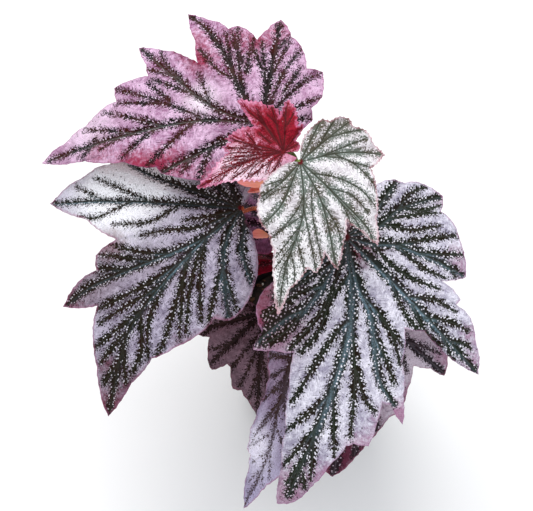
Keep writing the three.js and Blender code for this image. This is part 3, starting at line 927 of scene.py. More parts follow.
@dataclass(frozen=True)
class Blade:
    """The blade of one leaf, as one closed skin: two faces a leaf's thickness apart, on one grid.

    Lengths are in mm. A vein as long as `full_main` or `full_side` has its whole band, a shorter one less,
    and `vein_start` sets each vein's pattern apart from the last one's. `search` is in rays.
    """

    leaf: Leaf
    thickness: float = 0.6
    rim_thickness: float = 0.35
    rib: float = 0.6
    rib_width: float = 1.1
    bulge: float = 0.05
    tooth_calm: float = 12.0
    ripple_step: float = 19.0
    ripple_reach: float = 9.0
    full_main: float = 45.0
    full_side: float = 14.0
    vein_start: float = 37.0
    fold_reach: float = 3.5
    side_fold_reach: float = 1.6
    gleam_reach: float = 2.6
    search: int = 120

    def margin_line(self) -> tuple[Array, Array]:
        """The margin as close flat points, and their bearings.

        Each stretch between two listed points bulges outwards by a share of its chord (4s(1-s)), and small
        teeth stand on it: 1 - |sin|^0.6 of the way along, which is pointed at each tooth.

        Returns:
            n x 2 flat points and n bearings in degrees.
        """
        leaf = self.leaf
        marks = margin_of(leaf.margin)
        rows, bearings = [], []
        for (_, bearing, reach), (_, next_bearing, next_reach) in zip(marks[:-1], marks[1:]):
            start, end = polar(bearing, reach), polar(next_bearing, next_reach)
            step = end - start
            pieces = max(2, math.ceil(np.linalg.norm(step) / leaf.ray_step))
            share = np.linspace(0, 1, pieces, endpoint=False)[:, None]
            outwards = np.array([step[1], -step[0]]) * self.bulge
            rows.append(start + share * step + 4 * share * (1 - share) * outwards)
            bearings.append(bearing + share[:, 0] * (next_bearing - bearing))
        line = np.vstack([*rows, polar(*marks[-1][1:])[None]])
        run = run_of(line)
        tangent = unit(np.gradient(line, axis=0))
        outwards = np.stack([tangent[:, 1], -tangent[:, 0]], axis=1)
        places = np.stack([run, np.zeros_like(run)], axis=1)
        phase = run / leaf.tooth_step + 0.4 * soft_noise(places, 3 * leaf.tooth_step, 5)
        cusp = 1 - np.abs(np.sin(np.pi * phase)) ** 0.6
        calm = np.minimum(ease(0, self.tooth_calm, run), ease(0, self.tooth_calm, run[-1] - run))
        line = line + outwards * (calm * leaf.tooth_height * (cusp - 0.35))[:, None]
        return line, np.concatenate([*bearings, [marks[-1][1]]])

    def wave_at(self, bearings: Array) -> Array:
        """+1 on the vein of a tip, -1 in a notch, eased between them by half a cosine, 0 outside them, and
        evened over 3 degrees to each side.

        Args:
            bearings: n bearings in degrees.

        Returns:
            n values.
        """
        return np.mean([self.sharp_wave_at(bearings + turn) for turn in np.linspace(-3, 3, 7)], axis=0)

    def sharp_wave_at(self, bearings: Array) -> Array:
        """The wave before it is evened.

        Args:
            bearings: n bearings in degrees.

        Returns:
            n values.
        """
        known = [(b, 1.0 if mark is Mark.TIP else -1.0)
                 for mark, b, _ in margin_of(self.leaf.margin) if mark in (Mark.TIP, Mark.NOTCH)]
        places, levels = np.array(known).T
        k = np.clip(np.searchsorted(places, bearings), 1, len(places) - 1)
        share = np.clip((bearings - places[k - 1]) / (places[k] - places[k - 1]), 0, 1)
        wave = levels[k - 1] + (levels[k] - levels[k - 1]) * (1 - np.cos(np.pi * share)) / 2
        return np.where((bearings > places[0]) & (bearings <= places[-1]), wave, 0)

    def lines(self) -> tuple[list[Array], list[Array]]:
        """The main and the side veins as smooth flat lines, in steps of about 3 mm.

        Returns:
            The main veins and the side veins.
        """
        def smooth(points: Array) -> Array:
            """A smooth line through a vein's points."""
            return smooth_path(points, max(3, round(steps_of(points).sum() / 3)))
        main = [smooth(np.vstack([[0, 0], vein_of(text)])) for text in self.leaf.main]
        return main, [smooth(vein_of(text)) for text in self.leaf.side]

    def network(self, flat: Array) -> dict[str, Array]:
        """How each flat point lies in the vein network.

        A band's half width thins towards its end (1 - 0.5 x way^3), and a main one grows from half over its
        first quarter. `band` is the distance to a vein less that half width, `near` the distance,
        `across` the signed distance, `along` how far along its vein the point lies, with a start of its own
        for each vein, and `lee` how far it lies on the viewer's side of the vein, where the painted
        reflection goes.

        Args:
            flat: n x 2 flat points in mm.

        Returns:
            The named values, with `main_gap` and `side_gap` for the relief.
        """
        leaf = self.leaf
        forward, across_axis, _ = leaf.axes()
        # The painted gleam lies on the side of a vein towards the viewer, the slope that faces the key light.
        lee_way = unit(np.array([-forward[1], -across_axis[1]]))
        main, side = self.lines()
        out = {key: np.full(len(flat), 99.0) for key in ("band", "near", "main_gap", "side_gap", "across")}
        out |= {key: np.zeros(len(flat)) for key in ("lee", "along")}
        start = 0.0
        for lines, half_width, full, gap in ((main, leaf.band, self.full_main, "main_gap"),
                                             (side, leaf.side_band, self.full_side, "side_gap")):
            for line in lines:
                far, way, signed, foot = along_line(flat, line)
                length = steps_of(line).sum()
                width = half_width * min(1.0, (length / full) ** 0.5) * (1 - 0.5 * way ** 3)
                if lines is main:
                    width = width * (0.5 + 0.5 * ease(0, 0.25 * length, way * length))
                start += self.vein_start
                out["band"] = np.minimum(out["band"], far - width)
                out[gap] = np.minimum(out[gap], far)
                closer = far < out["near"]
                for key, value in (("near", far), ("across", signed), ("lee", (flat - foot) @ lee_way),
                                   ("along", start + way * length)):
                    out[key] = np.where(closer, value, out[key])
        return out

    def height(self, flat: Array, net: dict[str, Array], wave: Array, share: Array, run: Array,
               rim: Array) -> Array:
        """The upper face's height over the blade's own drooping surface.

        Tips hang and notches rise by the wave. The skin rises away from each vein as
        fold x (1 - exp(-distance / reach)), each cell of a jittered net puffs up, the margin ripples, and
        its last millimetres curl down.

        Args:
            flat: n x 2 flat points.
            net: their place in the vein network.
            wave: the wave at each point's bearing.
            share: the share of the way to the margin.
            run: the place along the margin that is nearest to each point.
            rim: the distance from the margin.

        Returns:
            n heights in mm.
        """
        leaf = self.leaf
        lift = -leaf.wave * share ** 2 * wave
        strength = 0.3 + 0.7 * ease(0, 14, rim)
        fold = leaf.fold * strength * (1 - np.exp(-net["main_gap"] / self.fold_reach))
        side_fold = leaf.side_fold * (1 - np.exp(-net["side_gap"] / self.side_fold_reach))
        side_fold = side_fold * ease(0, 6, net["main_gap"])
        cell = ease(0, 0.55, seam_gap(flat, leaf.pucker_size, 11)) * ease(0.2, 3, net["near"])
        beat = soft_noise(np.stack([run, np.zeros_like(run)], axis=1), 31, 7)
        ripple = leaf.ripple * np.exp(-((rim / self.ripple_reach) ** 2)) * (0.6 + 0.4 * beat)
        ripple = ripple * np.sin(2 * np.pi * run / self.ripple_step + 2 * beat) * ease(0, 0.4, share)
        curl = -0.7 * (1 - ease(0, 4.5, rim))
        fine = 0.05 * soft_noise(flat, 1.9, 3)
        return lift + (fold + side_fold + leaf.pucker * cell + fine + curl) * ease(0, 0.12, share) + ripple

    def patches(self, flat: Array, kind: Patch) -> Array:
        """The strength of a broad colour patch: a bell round each of its centres.

        Args:
            flat: n x 2 flat points in mm.
            kind: the kind of patch.

        Returns:
            n strengths.
        """
        total = np.full(len(flat), self.leaf.gleam if kind is Patch.GLEAM else 0.0)
        for name, bearing, reach, radius, strength in self.leaf.patches:
            if name is kind:
                far = np.linalg.norm(flat - polar(bearing, reach), axis=1)
                total += strength * np.exp(-((far / radius) ** 2))
        return total

    def nearest_margin(self, line: Array, grid: Array, run: Array) -> tuple[Array, Array]:
        """The distance from each grid point to the margin, and the place along it that is nearest.

        Each point is tried against every second margin point within the search's rays of its own.

        Args:
            line: n x 2 margin points.
            grid: n x rings x 2 grid points.
            run: n lengths along the margin.

        Returns:
            Two n x rings arrays.
        """
        rays = np.arange(len(line))
        nearest = np.full(grid.shape[:2], 1e3)
        place = np.zeros(grid.shape[:2])
        for step in range(-self.search, self.search + 1, 2):
            other = np.clip(rays + step, 0, len(line) - 1)
            far = np.linalg.norm(grid - line[other][:, None], axis=2)
            place = np.where(far < nearest, run[other][:, None], place)
            nearest = np.minimum(nearest, far)
        return nearest, place

    def skin(self) -> Skin:
        """The closed skin, with its flat coordinates and values.

        Returns:
            The skin, ready to be made an object.
        """
        line, bearings = self.margin_line()
        rays = len(line)
        count = max(12, round(np.linalg.norm(line, axis=1).max() / self.leaf.ring_step))
        shares = np.arange(1, count + 1) / count
        grid = line[:, None, :] * shares[None, :, None]
        flat = np.vstack([[0, 0], grid.reshape(-1, 2)])

        def spread(values: Array) -> Array:
            """One value for each ray or grid point, as one for each point of the face."""
            table = np.broadcast_to(values.reshape(rays, -1), (rays, count))
            return np.concatenate([[table[0, 0]], table.ravel()])

        share = np.concatenate([[0], np.tile(shares, rays)])
        gap, place = self.nearest_margin(line, grid, run_of(line))
        gap[:, -1] = 0
        rim = spread(gap)
        net = self.network(flat)
        height = self.height(flat, net, spread(self.wave_at(bearings)), share, spread(place), rim)
        rib = self.rib * np.exp(-((net["near"] / self.rib_width) ** 2)) * (1 - 0.8 * share)
        thick = self.rim_thickness + (self.thickness - self.rim_thickness) * ease(0, 3, rim) + rib
        values = {key: net[key] for key in ("band", "near", "across", "along", "lee")}
        values |= {"rim": rim} | {kind.value: self.patches(flat, kind) for kind in Patch}
        # A dusk patch (painted shade, partly a duller tone of the leaf's own) narrows the bands, a frost
        # patch (partly a painted highlight) widens the pearl, and the painted gleam keeps to main veins.
        values["band"] = values["band"] - 1.3 * values["dusk"] + 0.7 * np.minimum(1, values["frost_and_highlight"])
        values["gleam"] = values["gleam"] * np.exp(-((net["main_gap"] / self.gleam_reach) ** 2))
        faces = self.faces(rays, count)
        faces.points = np.vstack([self.leaf.lay(flat, height), self.leaf.lay(flat, height - thick)])
        faces.flat = np.vstack([flat, flat])
        faces.values = {key: np.tile(value, 2) for key, value in values.items()}
        return faces

    @staticmethod
    def faces(rays: int, count: int) -> Skin:
        """The faces of a blade before its points are laid: both sides, the wall along the margin, and the
        two walls of the sinus, where the first and the last ray stand apart.

        Args:
            rays: the grid's rays.
            count: the grid's rings.

        Returns:
            The skin without its points.
        """
        size = rays * count + 1
        at = 1 + np.arange(rays * count).reshape(rays, count)
        inner, outer, turned, turned_inner = at[:-1, :-1], at[:-1, 1:], at[1:, 1:], at[1:, :-1]
        top = np.stack([inner, outer, turned, turned_inner], axis=-1).reshape(-1, 4)
        edge, edge_on = at[:-1, -1], at[1:, -1]
        wall = np.stack([edge, edge + size, edge_on + size, edge_on], axis=-1)
        first, last = np.concatenate([[0], at[0]]), np.concatenate([[0], at[-1]])
        sinus = np.vstack([
            np.stack([first[:-1], first[:-1] + size, first[1:] + size, first[1:]], axis=-1),
            np.stack([last[:-1], last[1:], last[1:] + size, last[:-1] + size], axis=-1)])
        middle = np.stack([np.zeros(rays - 1, int), at[:-1, 0], at[1:, 0]], axis=-1)
        return Skin(
            np.zeros((0, 3)),
            np.vstack([top, top[:, ::-1] + size, wall, sinus]),
            np.vstack([middle, middle[:, ::-1] + size]),
            np.repeat([0, 1, 0], [len(top), len(top), len(wall) + len(sinus)]),
            np.repeat([0, 1], len(middle)),
        )

    def build(self) -> None:
        """Makes the blade, dresses it and puts it on its node."""
        leaf = self.leaf
        piece = self.skin().to_object(f"leaf_blade_{leaf.place}", [leaf.finish.upper(), leaf.finish.lower()])
        seat(piece, leaf.slot, f"blade_{leaf.place}")


def seat(piece: bpy.types.Object, slot: str, *nodes: str) -> None:
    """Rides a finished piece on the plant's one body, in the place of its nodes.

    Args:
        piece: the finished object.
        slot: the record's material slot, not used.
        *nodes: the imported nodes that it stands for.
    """
    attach(piece, "root")
    if nodes:
        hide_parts(*nodes)
    log.info("%s: %d faces", piece.name, len(piece.data.polygons))


def cones(feet: Array, ways: Array, length: Array, radius: float) -> Skin:
    """Three-sided hairs: each is a small triangle square to its way, drawn out to a point.

    Args:
        feet: n x 3 places.
        ways: n x 3 unit directions.
        length: n lengths in mm.
        radius: the foot triangle's radius in mm.

    Returns:
        All of them as one skin of closed bodies.
    """
    side = unit(np.cross(ways, UP + 0.013))
    other = np.cross(ways, side)
    base = feet[:, None] + radius * rings(turns(3), side, other)
    points = np.concatenate([base, (feet + ways * length[:, None])[:, None]], axis=1)
    start = 4 * np.arange(len(feet))[:, None, None]
    faces = np.array([[0, 1, 3], [1, 2, 3], [2, 0, 3], [0, 2, 1]]) + start
    return Skin(points.reshape(-1, 3), np.zeros((0, 4), int), faces.reshape(-1, 3))


@dataclass(frozen=True)
class Stalk:
    """A leaf's stalk: it leaves its stem with a swollen foot, thins, and widens under the blade."""

    leaf: Leaf
    foot_radius: float = 1.9
    radius: float = 1.05
    landing: float = 6.0
    under: float = 1.8
    reach_in: float = 1.05
    sides: int = 20
    hairs_per_mm: float = 5.0
    hair_length: tuple[float, float] = (0.7, 1.5)
    hair_radius: float = 0.06

    def path(self) -> Array:
        """From the stem along the listed points, then square under the blade and up to its ribs.

        Returns:
            k x 3 points.
        """
        normal = self.leaf.axes()[2]
        depths = (self.under + self.landing, self.reach_in)
        ends = [np.array(self.leaf.at) - normal * depth for depth in depths]
        return smooth_path(np.array([*self.leaf.stalk, *ends]), 90)

    def radii(self, path: Array) -> Array:
        """The radius falls over the first 40% of the way, with a swell at the foot and at the landing.

        Args:
            path: k x 3 points.

        Returns:
            k radii in mm.
        """
        run = run_of(path)
        radius = self.foot_radius + (self.radius - self.foot_radius) * np.minimum(1, 2.5 * (run / run[-1]))
        swell = 0.45 * np.exp(-((run - 1.5) / 2.0) ** 2) + 0.75 * np.exp(-((run[-1] - run) / 1.3) ** 2)
        return radius + swell

    def build(self) -> None:
        """Makes the stalk with its shallow lengthwise ribs, and its down of hairs."""
        path = self.path()
        radius = self.radii(path)
        ribs = 1 + 0.05 * np.cos(5 * turns(self.sides))
        rows = tube_rows(path, radius[:, None] * ribs[None, :], self.sides)
        place, finish = self.leaf.place, self.leaf.stalk_finish
        slot = "stalk_green" if finish is GREEN_SKIN else "stalk_red_brown"
        seat(rows_skin(rows).to_object(f"leaf_stalk_{place}", [finish_of(finish)]), slot, f"stalk_{place}")
        seat(self.hairs(path, radius).to_object(f"stalk_hairs_{place}", [finish_of(HAIR_SKIN)]), slot)

    def hairs(self, path: Array, radius: Array) -> Skin:
        """Short hairs, drawn at random along and round the stalk, leaning a little towards the blade.

        Args:
            path: k x 3 points of the stalk.
            radius: its k radii.

        Returns:
            All of them as one skin of closed bodies.
        """
        draw = np.random.default_rng(sum(map(ord, self.leaf.place)))
        first, second = path_frames(path)
        count = round(steps_of(path).sum() * self.hairs_per_mm)
        k = draw.integers(6, len(path) - 4, count)
        turn = draw.uniform(0, 2 * np.pi, count)
        out = np.cos(turn)[:, None] * first[k] + np.sin(turn)[:, None] * second[k]
        along = unit(np.gradient(path, axis=0))[k]
        ways = unit(out + along * draw.uniform(0.1, 0.7, count)[:, None])
        feet = path[k] + along * draw.uniform(-0.4, 0.4, count)[:, None] + out * (radius[k] * 0.93)[:, None]
        return cones(feet, ways, draw.uniform(*self.hair_length, count), self.hair_radius)


FINISHES: dict[str, bpy.types.Material] = {}


def finish_of(finish: StemFinish | GroundFinish | StipuleFinish | PotFinish) -> bpy.types.Material:
    """The material of a shared finish, built the first time it is asked for.

    Args:
        finish: the finish.

    Returns:
        Its one material.
    """
    if finish.name not in FINISHES:
        FINISHES[finish.name] = finish.build()
    return FINISHES[finish.name]


@dataclass(frozen=True)
class Stem:
    """A jointed stem: it thins to its tip and swells at each node, with a leaf scar's ring round it."""

    name: str
    path: tuple[tuple[float, float, float], ...]
    base_radius: float
    tip_radius: float
    swell: float = 0.7
    ring: float = 0.28
    sides: int = 36
    rows: int = 240

    def build(self) -> None:
        """The radius: thinning + swell x max(0, cos)^3 at the nodes + a sharp ring + fine furrows."""
        path = smooth_path(np.array(self.path), self.rows)
        way = np.linspace(0, 1, self.rows)
        beat = np.cos(2 * np.pi * (len(self.path) - 1) * way)
        radius = self.base_radius + (self.tip_radius - self.base_radius) * way
        radius = radius + self.swell * np.maximum(0, beat) ** 3
        radius = radius + self.ring * np.exp(-((beat - 0.93) / 0.05) ** 2)
        places = np.stack([np.tile(turns(self.sides) * 3, self.rows), np.repeat(way * 60, self.sides)], 1)
        furrow = 0.1 * soft_noise(places, 0.9, 21).reshape(self.rows, self.sides)
        furrow[:, -1] = furrow[:, 0]
        rounded_tip = np.sqrt(np.clip((1 - way) * self.rows / 8, 0.02, 1))
        rows = tube_rows(path, (radius[:, None] + furrow) * rounded_tip[:, None], self.sides)
        piece = rows_skin(rows).to_object(f"{self.name}_bark", [finish_of(CANE_SKIN)])
        seat(piece, "cane_bark", self.name)


@dataclass(frozen=True)
class Stipule:
    """A papery scale beside a node: pointed, cupped from side to side and towards its point."""

    name: str
    at: tuple[float, float, float]
    heading: float
    climb: float
    roll: float
    length: float
    width: float
    cup: float = 2.0
    thickness: float = 0.4
    fullness: float = 0.7
    steps: int = 30
    cells: int = 8

    def build(self) -> None:
        """Across: half the width x sin(pi x share)^fullness. Cup: 2 mm x (side^2 + share^2)."""
        forward, across, normal = tilted_axes(self.heading, -self.climb, self.roll)
        share = np.linspace(0.05, 0.975, self.steps)[:, None]
        cell = np.linspace(-1, 1, 2 * self.cells + 1)[None, :]
        side = np.sin(np.pi * share) ** self.fullness * cell
        ragged = 0.12 * np.sin(23 * share + 3 * cell) * np.abs(cell) ** 6
        x = np.broadcast_to(self.length * share, side.shape)
        y = self.width / 2 * side + ragged * np.sign(cell)
        nerve = 0.12 * np.cos(3 * np.pi * cell) * np.sin(np.pi * share)
        z = self.cup * (side ** 2 + share ** 2) + nerve
        upper = np.array(self.at) + x[..., None] * forward + y[..., None] * across + z[..., None] * normal
        skin = rows_skin(np.concatenate([upper - self.thickness * normal, upper[:, ::-1]], axis=1))
        flat = np.stack([np.concatenate([v, v[:, ::-1]], axis=1) for v in (x, y)], axis=-1)
        skin.flat = np.vstack([flat.reshape(-1, 2), flat[0].mean(axis=0), flat[-1].mean(axis=0)])
        skin.values = {"way": skin.flat[:, 0] / self.length}
        piece = skin.to_object(f"papery_{self.name}", [finish_of(STIPULE_SKIN)], 70)
        seat(piece, "stipule_papery", self.name)


@dataclass(frozen=True)
class Pot:
    """A thin moulded nursery pot: a cone with a rim band, a flat bottom and a ring of drain holes."""

    height: float = 90
    top_radius: float = 51
    base_radius: float = 36
    wall: float = 1.5
    floor: float = 2
    rim_height: float = 11
    rim_proud: float = 1.5
    bead: float = 0.45
    drain_count: int = 6
    drain_radius: float = 4
    drain_ring: float = 25
    sides: int = 160

    def outer(self, z: float) -> float:
        """The radius of the outer wall at a height, below the rim band."""
        return self.base_radius + (self.top_radius - self.base_radius) * z / self.height

    def profile(self) -> Array:
        """From the bottom's middle up the outside with its moulded beads, over the rim and down inside.

        Returns:
            k x 2 points of (radius, height).
        """
        band, out = self.height - self.rim_height, self.outer
        corners = [(1.0, 0.0), (out(0), 0.0)]
        for z in (9.0, 12.0, band - 9, band - 6):
            proud = out(z) + self.bead
            corners += [(out(z), z), (proud, z + 0.5), (proud, z + 1.1), (out(z + 1.6), z + 1.6)]
        corners += [(out(band), band), (out(band) + self.rim_proud, band),
                    (out(self.height) + self.rim_proud, self.height),
                    (out(self.height) - self.wall, self.height),
                    (out(band) - self.wall, band - 1), (out(band) - self.wall - 0.5, band - 3),
                    (out(self.floor) - self.wall, self.floor), (1.0, self.floor)]
        return rounded(corners, 0.9)

    def build(self) -> None:
        """Turns the profile, then cuts the drain holes with one Boolean."""
        rows = lathe_rows(self.profile(), self.sides)
        body = rows_skin(rows).to_object("nursery_pot", [finish_of(POT_SKIN)])
        holes = []
        for k in range(self.drain_count):
            centre = [*polar(360 * k / self.drain_count, self.drain_ring), 0]
            path = centre + np.array([[0, 0, -3.0], [0, 0, self.floor + 3]])
            holes.append(rows_skin(tube_rows(path, np.full(2, self.drain_radius), 32)))
        cutter = holes[0].joined(holes[1:]).to_object("drain_cutter", [])
        modifier = body.modifiers.new("drain_holes", "BOOLEAN")
        modifier.operation, modifier.solver, modifier.object = "DIFFERENCE", "EXACT", cutter
        done = bpy.data.meshes.new_from_object(body.evaluated_get(bpy.context.evaluated_depsgraph_get()))
        body.modifiers.clear()
        body.data = done
        done.set_sharp_from_angle(angle=math.radians(35))
        bpy.data.objects.remove(cutter)
        seat(body, "pot_plastic", "pot")


@dataclass(frozen=True)
class Soil:
    """The potting mix: a lumpy, slightly domed top with crumbs, bark chips and perlite lying on it."""

    pot: Pot
    level: float = 77
    dome: float = 2.5
    clear: float = 0.6
    bottom: float = 2.3
    sides: int = 200
    rings: int = 42
    crumbs: int = 900
    chips: int = 90
    grains: int = 110
    scatter_radius: float = 46
    stem_feet: tuple[tuple[float, float], ...] = ((-4, -2), (9, -8))
    stem_clear: float = 5.5

    def top(self, flat: Array) -> Array:
        """The height of the top: a dome, the plant's broad lumps and finer random ones.

        Args:
            flat: n x 2 flat points in mm.

        Returns:
            n heights.
        """
        x, y = flat[:, 0], flat[:, 1]
        dome = self.dome * (1 - (x ** 2 + y ** 2) / self.pot.top_radius ** 2)
        broad = np.sin(x / 3.4 + 1) * np.cos(y / 3.4) + np.sin((x + 2 * y) / 5.6) * np.cos((x - y) / 5.6)
        smooth = self.level + dome + 0.45 * broad
        return smooth + 0.35 * soft_noise(flat, 2.3, 31) + 0.2 * soft_noise(flat, 1.1, 32)

    def radius(self, z: float) -> float:
        """The mix's radius at a height, just clear of the pot's wall."""
        return self.pot.outer(z) - self.pot.wall - self.clear

    def scatter(self, count: int, seed: int) -> Array:
        """Random flat places on the top, even over its area and clear of the two stems.

        Args:
            count: the most that are wanted.
            seed: picks them.

        Returns:
            n x 2 points, n being at most the count.
        """
        draw = np.random.default_rng(seed)
        turn, share = draw.uniform(0, 2 * np.pi, 2 * count), draw.uniform(0, 1, 2 * count)
        flat = self.scatter_radius * np.sqrt(share)[:, None] * np.stack([np.cos(turn), np.sin(turn)], axis=1)
        clear = np.min([np.linalg.norm(flat - np.array(foot), axis=1) for foot in self.stem_feet], axis=0)
        return flat[clear > self.stem_clear][:count]

    def lumps(self, count: int, sizes: tuple[float, float], squash: tuple[float, float], seed: int) -> Skin:
        """Irregular lumps: icosahedra with jittered corners, stretched, turned and sunk by a third.

        Args:
            count: how many.
            sizes: the smallest and largest half length in mm.
            squash: the width and height as shares of the length.
            seed: picks them.

        Returns:
            All of them as one skin of closed bodies.
        """
        draw = np.random.default_rng(seed)
        golden = (1 + 5 ** 0.5) / 2
        cycle = [(0, 1, golden), (0, -1, golden), (0, 1, -golden), (0, -1, -golden)]
        ball = unit(np.array([np.roll(c, k) for k in range(3) for c in cycle], float))
        # Its faces are the threes of corners that lie an edge (1.05) apart, turned to face outwards.
        sides = np.array(list(combinations(range(12), 3)))
        spans = np.linalg.norm(ball[sides] - ball[np.roll(sides, 1, axis=1)], axis=-1)
        sides = sides[spans.max(axis=1) < 1.06]
        a, b, c = (ball[sides[:, k]] for k in range(3))
        inward = np.einsum("ij,ij->i", np.cross(b - a, c - a), a + b + c) < 0
        sides[inward] = sides[inward][:, ::-1]
        flat = self.scatter(count, seed)
        count = len(flat)
        half = draw.uniform(*sizes, count) * draw.uniform(0.6, 1, count)
        shape = ball[None] * draw.uniform(0.72, 1.18, (count, 12, 1)) * np.array([1, *squash])
        turn, tip = draw.uniform(0, 2 * np.pi, count), draw.normal(0, 0.35, (count, 2))
        spin = np.zeros((count, 3, 3))
        spin[:, 0, 0] = spin[:, 1, 1] = np.cos(turn)
        spin[:, 1, 0], spin[:, 0, 1] = np.sin(turn), -np.sin(turn)
        spin[:, 2, 2] = 1
        lean = np.tile(np.eye(3), (count, 1, 1))
        lean[:, 2, 0], lean[:, 2, 1] = tip[:, 0], tip[:, 1]
        placed = np.einsum("nij,njk,nlk->nli", spin, lean, shape * half[:, None, None])
        height = self.top(flat) + 0.35 * half * squash[1]
        points = placed + np.column_stack([flat, height])[:, None]
        faces = sides[None] + 12 * np.arange(count)[:, None, None]
        return Skin(points.reshape(-1, 3), np.zeros((0, 4), int), faces.reshape(-1, 3))

    def build(self) -> None:
        """The body of the mix, then what lies on it."""
        turn = turns(self.sides)
        circle = np.stack([np.cos(turn), np.sin(turn)], axis=1)
        rim = self.radius(self.level)
        rows = [np.column_stack([circle * self.radius(z), np.full(self.sides, z)])
                for z in (self.bottom, 40.0, 74.0)]
        for share in np.linspace(1, 1 / self.rings, self.rings):
            flat = circle * rim * share
            rows.append(np.column_stack([flat, self.top(flat)]))
        body = rows_skin(np.array(rows)).to_object("potting_mix", [finish_of(PEAT)], 70)
        seat(body, "potting_soil", "soil")
        for name, finish, skin in (
                ("mix_crumbs", PEAT, self.lumps(self.crumbs, (0.5, 1.5), (0.85, 0.7), 41)),
                ("mix_bark_chips", BARK, self.lumps(self.chips, (1.6, 4.2), (0.5, 0.3), 42)),
                ("mix_perlite", PERLITE, self.lumps(self.grains, (0.6, 1.5), (0.9, 0.8), 43))):
            seat(skin.to_object(name, [finish_of(finish)], 25), "potting_soil")


# ---------------------------------------------------------------- the plant's leaves

# Each finish gives its name, then its colours: silver, silver_low, dark, dark_low, sheen (a painted
# reflection), line, blush, frost (partly a painted highlight), rim, under and under_low.
# Lavender pearl over olive black: the big leaf that faces the viewer.
LAVENDER = BladeFinish(
    "lavender_blade", "EBE8F4", "9C96AC", "171B0C", "1E1208", "7C96A6", "5E6A60", "A77C98", "FBFAFF",
    "A87A9C", "7A2A48", "8C5A5E", dusk="8C5C76", ember="74263C", landing="4A1016",
    gleam_reach=2.8, line_share=0.2)
# Mauve pearl that reddens towards the margins.
MAUVE = BladeFinish(
    "mauve_blade", "E6C2E0", "9A668C", "150A0C", "3A100A", "98A4A0", "4A4440", "9A3450", "FBF0FA", "A05A80",
    "8A2440", "7A4A4C", dusk="7C4458", ember="8E2844", ragged=1.1, blister=1.4, blister_share=0.62,
    fleck_share=0.8, streak_share=0.7, gleam_reach=0.8, line_share=0.2)
# Grey mauve with near-white upper lobes; their whiteness is partly a painted highlight, where they face the
# sky.
TWO_TONE = BladeFinish(
    "two_tone_blade", "CCC4D8", "80768C", "171306", "221006", "5E7884", "3A3A2E", "74404E", "F3F3F8",
    "9C5A7A", "7A2A40", "7C5450", dusk="64484C", ember="6A2838", landing="5E0E18",
    landing_size=1.8, rim_width=1.7, ragged=1.1, blister=1.5, blister_share=0.62,
    fleck_share=0.8, streak_share=0.6, gleam_reach=2.2, line_share=0.4)
# Silver white over grey green: the newest large leaf, with a red fringe.
SILVER = BladeFinish(
    "silver_blade", "F9F6F9", "CAC2C8", "6C766E", "544E42", "9AA6A2", "2C2C1C", "B88490", "FFFFFF", "B86C7E",
    "A8506A", "7E8460", dusk="94868A", landing="5E1218", landing_size=1.9, ragged=1.2, blister=1.4,
    blister_share=0.6, fleck_share=0.85, streak_share=0.7, rim_width=1.2, rim_share=0.5, line_share=0.85,
    line_width=0.27)
# Crimson and pink: the youngest leaf.
YOUNG = BladeFinish(
    "young_blade", "F4BADA", "C45884", "860A1E", "700616", "A0203A", "44020A", "A01030", "FBDCEC", "D87CA4",
    "A02038", "7A1028", dusk="7E0A20", ember="980E28", landing="6A0814", landing_size=1.6, ragged=1.0,
    blister=1.3, blister_share=0.08, fleck_share=0.7, streak_share=0.95, sweep=0.22, line_share=0.85,
    line_width=0.34, wax=0.15)
# The low leaves lie in the others' shade, and their colours are darker still: partly painted shade, partly a
# duller tone of their own.
PLUM = BladeFinish(
    "plum_blade", "8E7280", "644E58", "2A1814", "1A0C08", "4A4650", "4A3430", "4A2830", "9A8490", "7A4454",
    "5C2030", "4E2C2C", dusk="4A3238", blister_share=0.3)
LILAC = BladeFinish(
    "lilac_blade", "BAB2D0", "8A7E9E", "463840", "3A2620", "6A6478", "5A4E54", "A06A80", "F0ECFC", "A05A78",
    "7A2A44", "6A4044", dusk="94687A", blister_share=0.2)
DUSKY = BladeFinish(
    "dusky_blade", "C6BAC8", "8C7A8C", "241E22", "22121A", "565A66", "6A5E64", "8E5C78", "D8CEDC", "8E4A66",
    "6A2038", "5A3438", dusk="5A3448", ember="5A263A", blister_share=0.5)
PURPLE = BladeFinish(
    "purple_blade", "94608A", "5C3650", "2A1620", "200E18", "4E4458", "5E4A5A", "A04878", "B68AAA", "9A4068",
    "601C34", "4C2430", dusk="4A2438")
CRIMSON = BladeFinish(
    "crimson_blade", "8E0C2C", "5A0616", "36040E", "24030A", "5E1830", "601020", "B82848", "C85A78", "B01C3C",
    "700C20", "50101C", dusk="3E0814", wax=0.15)
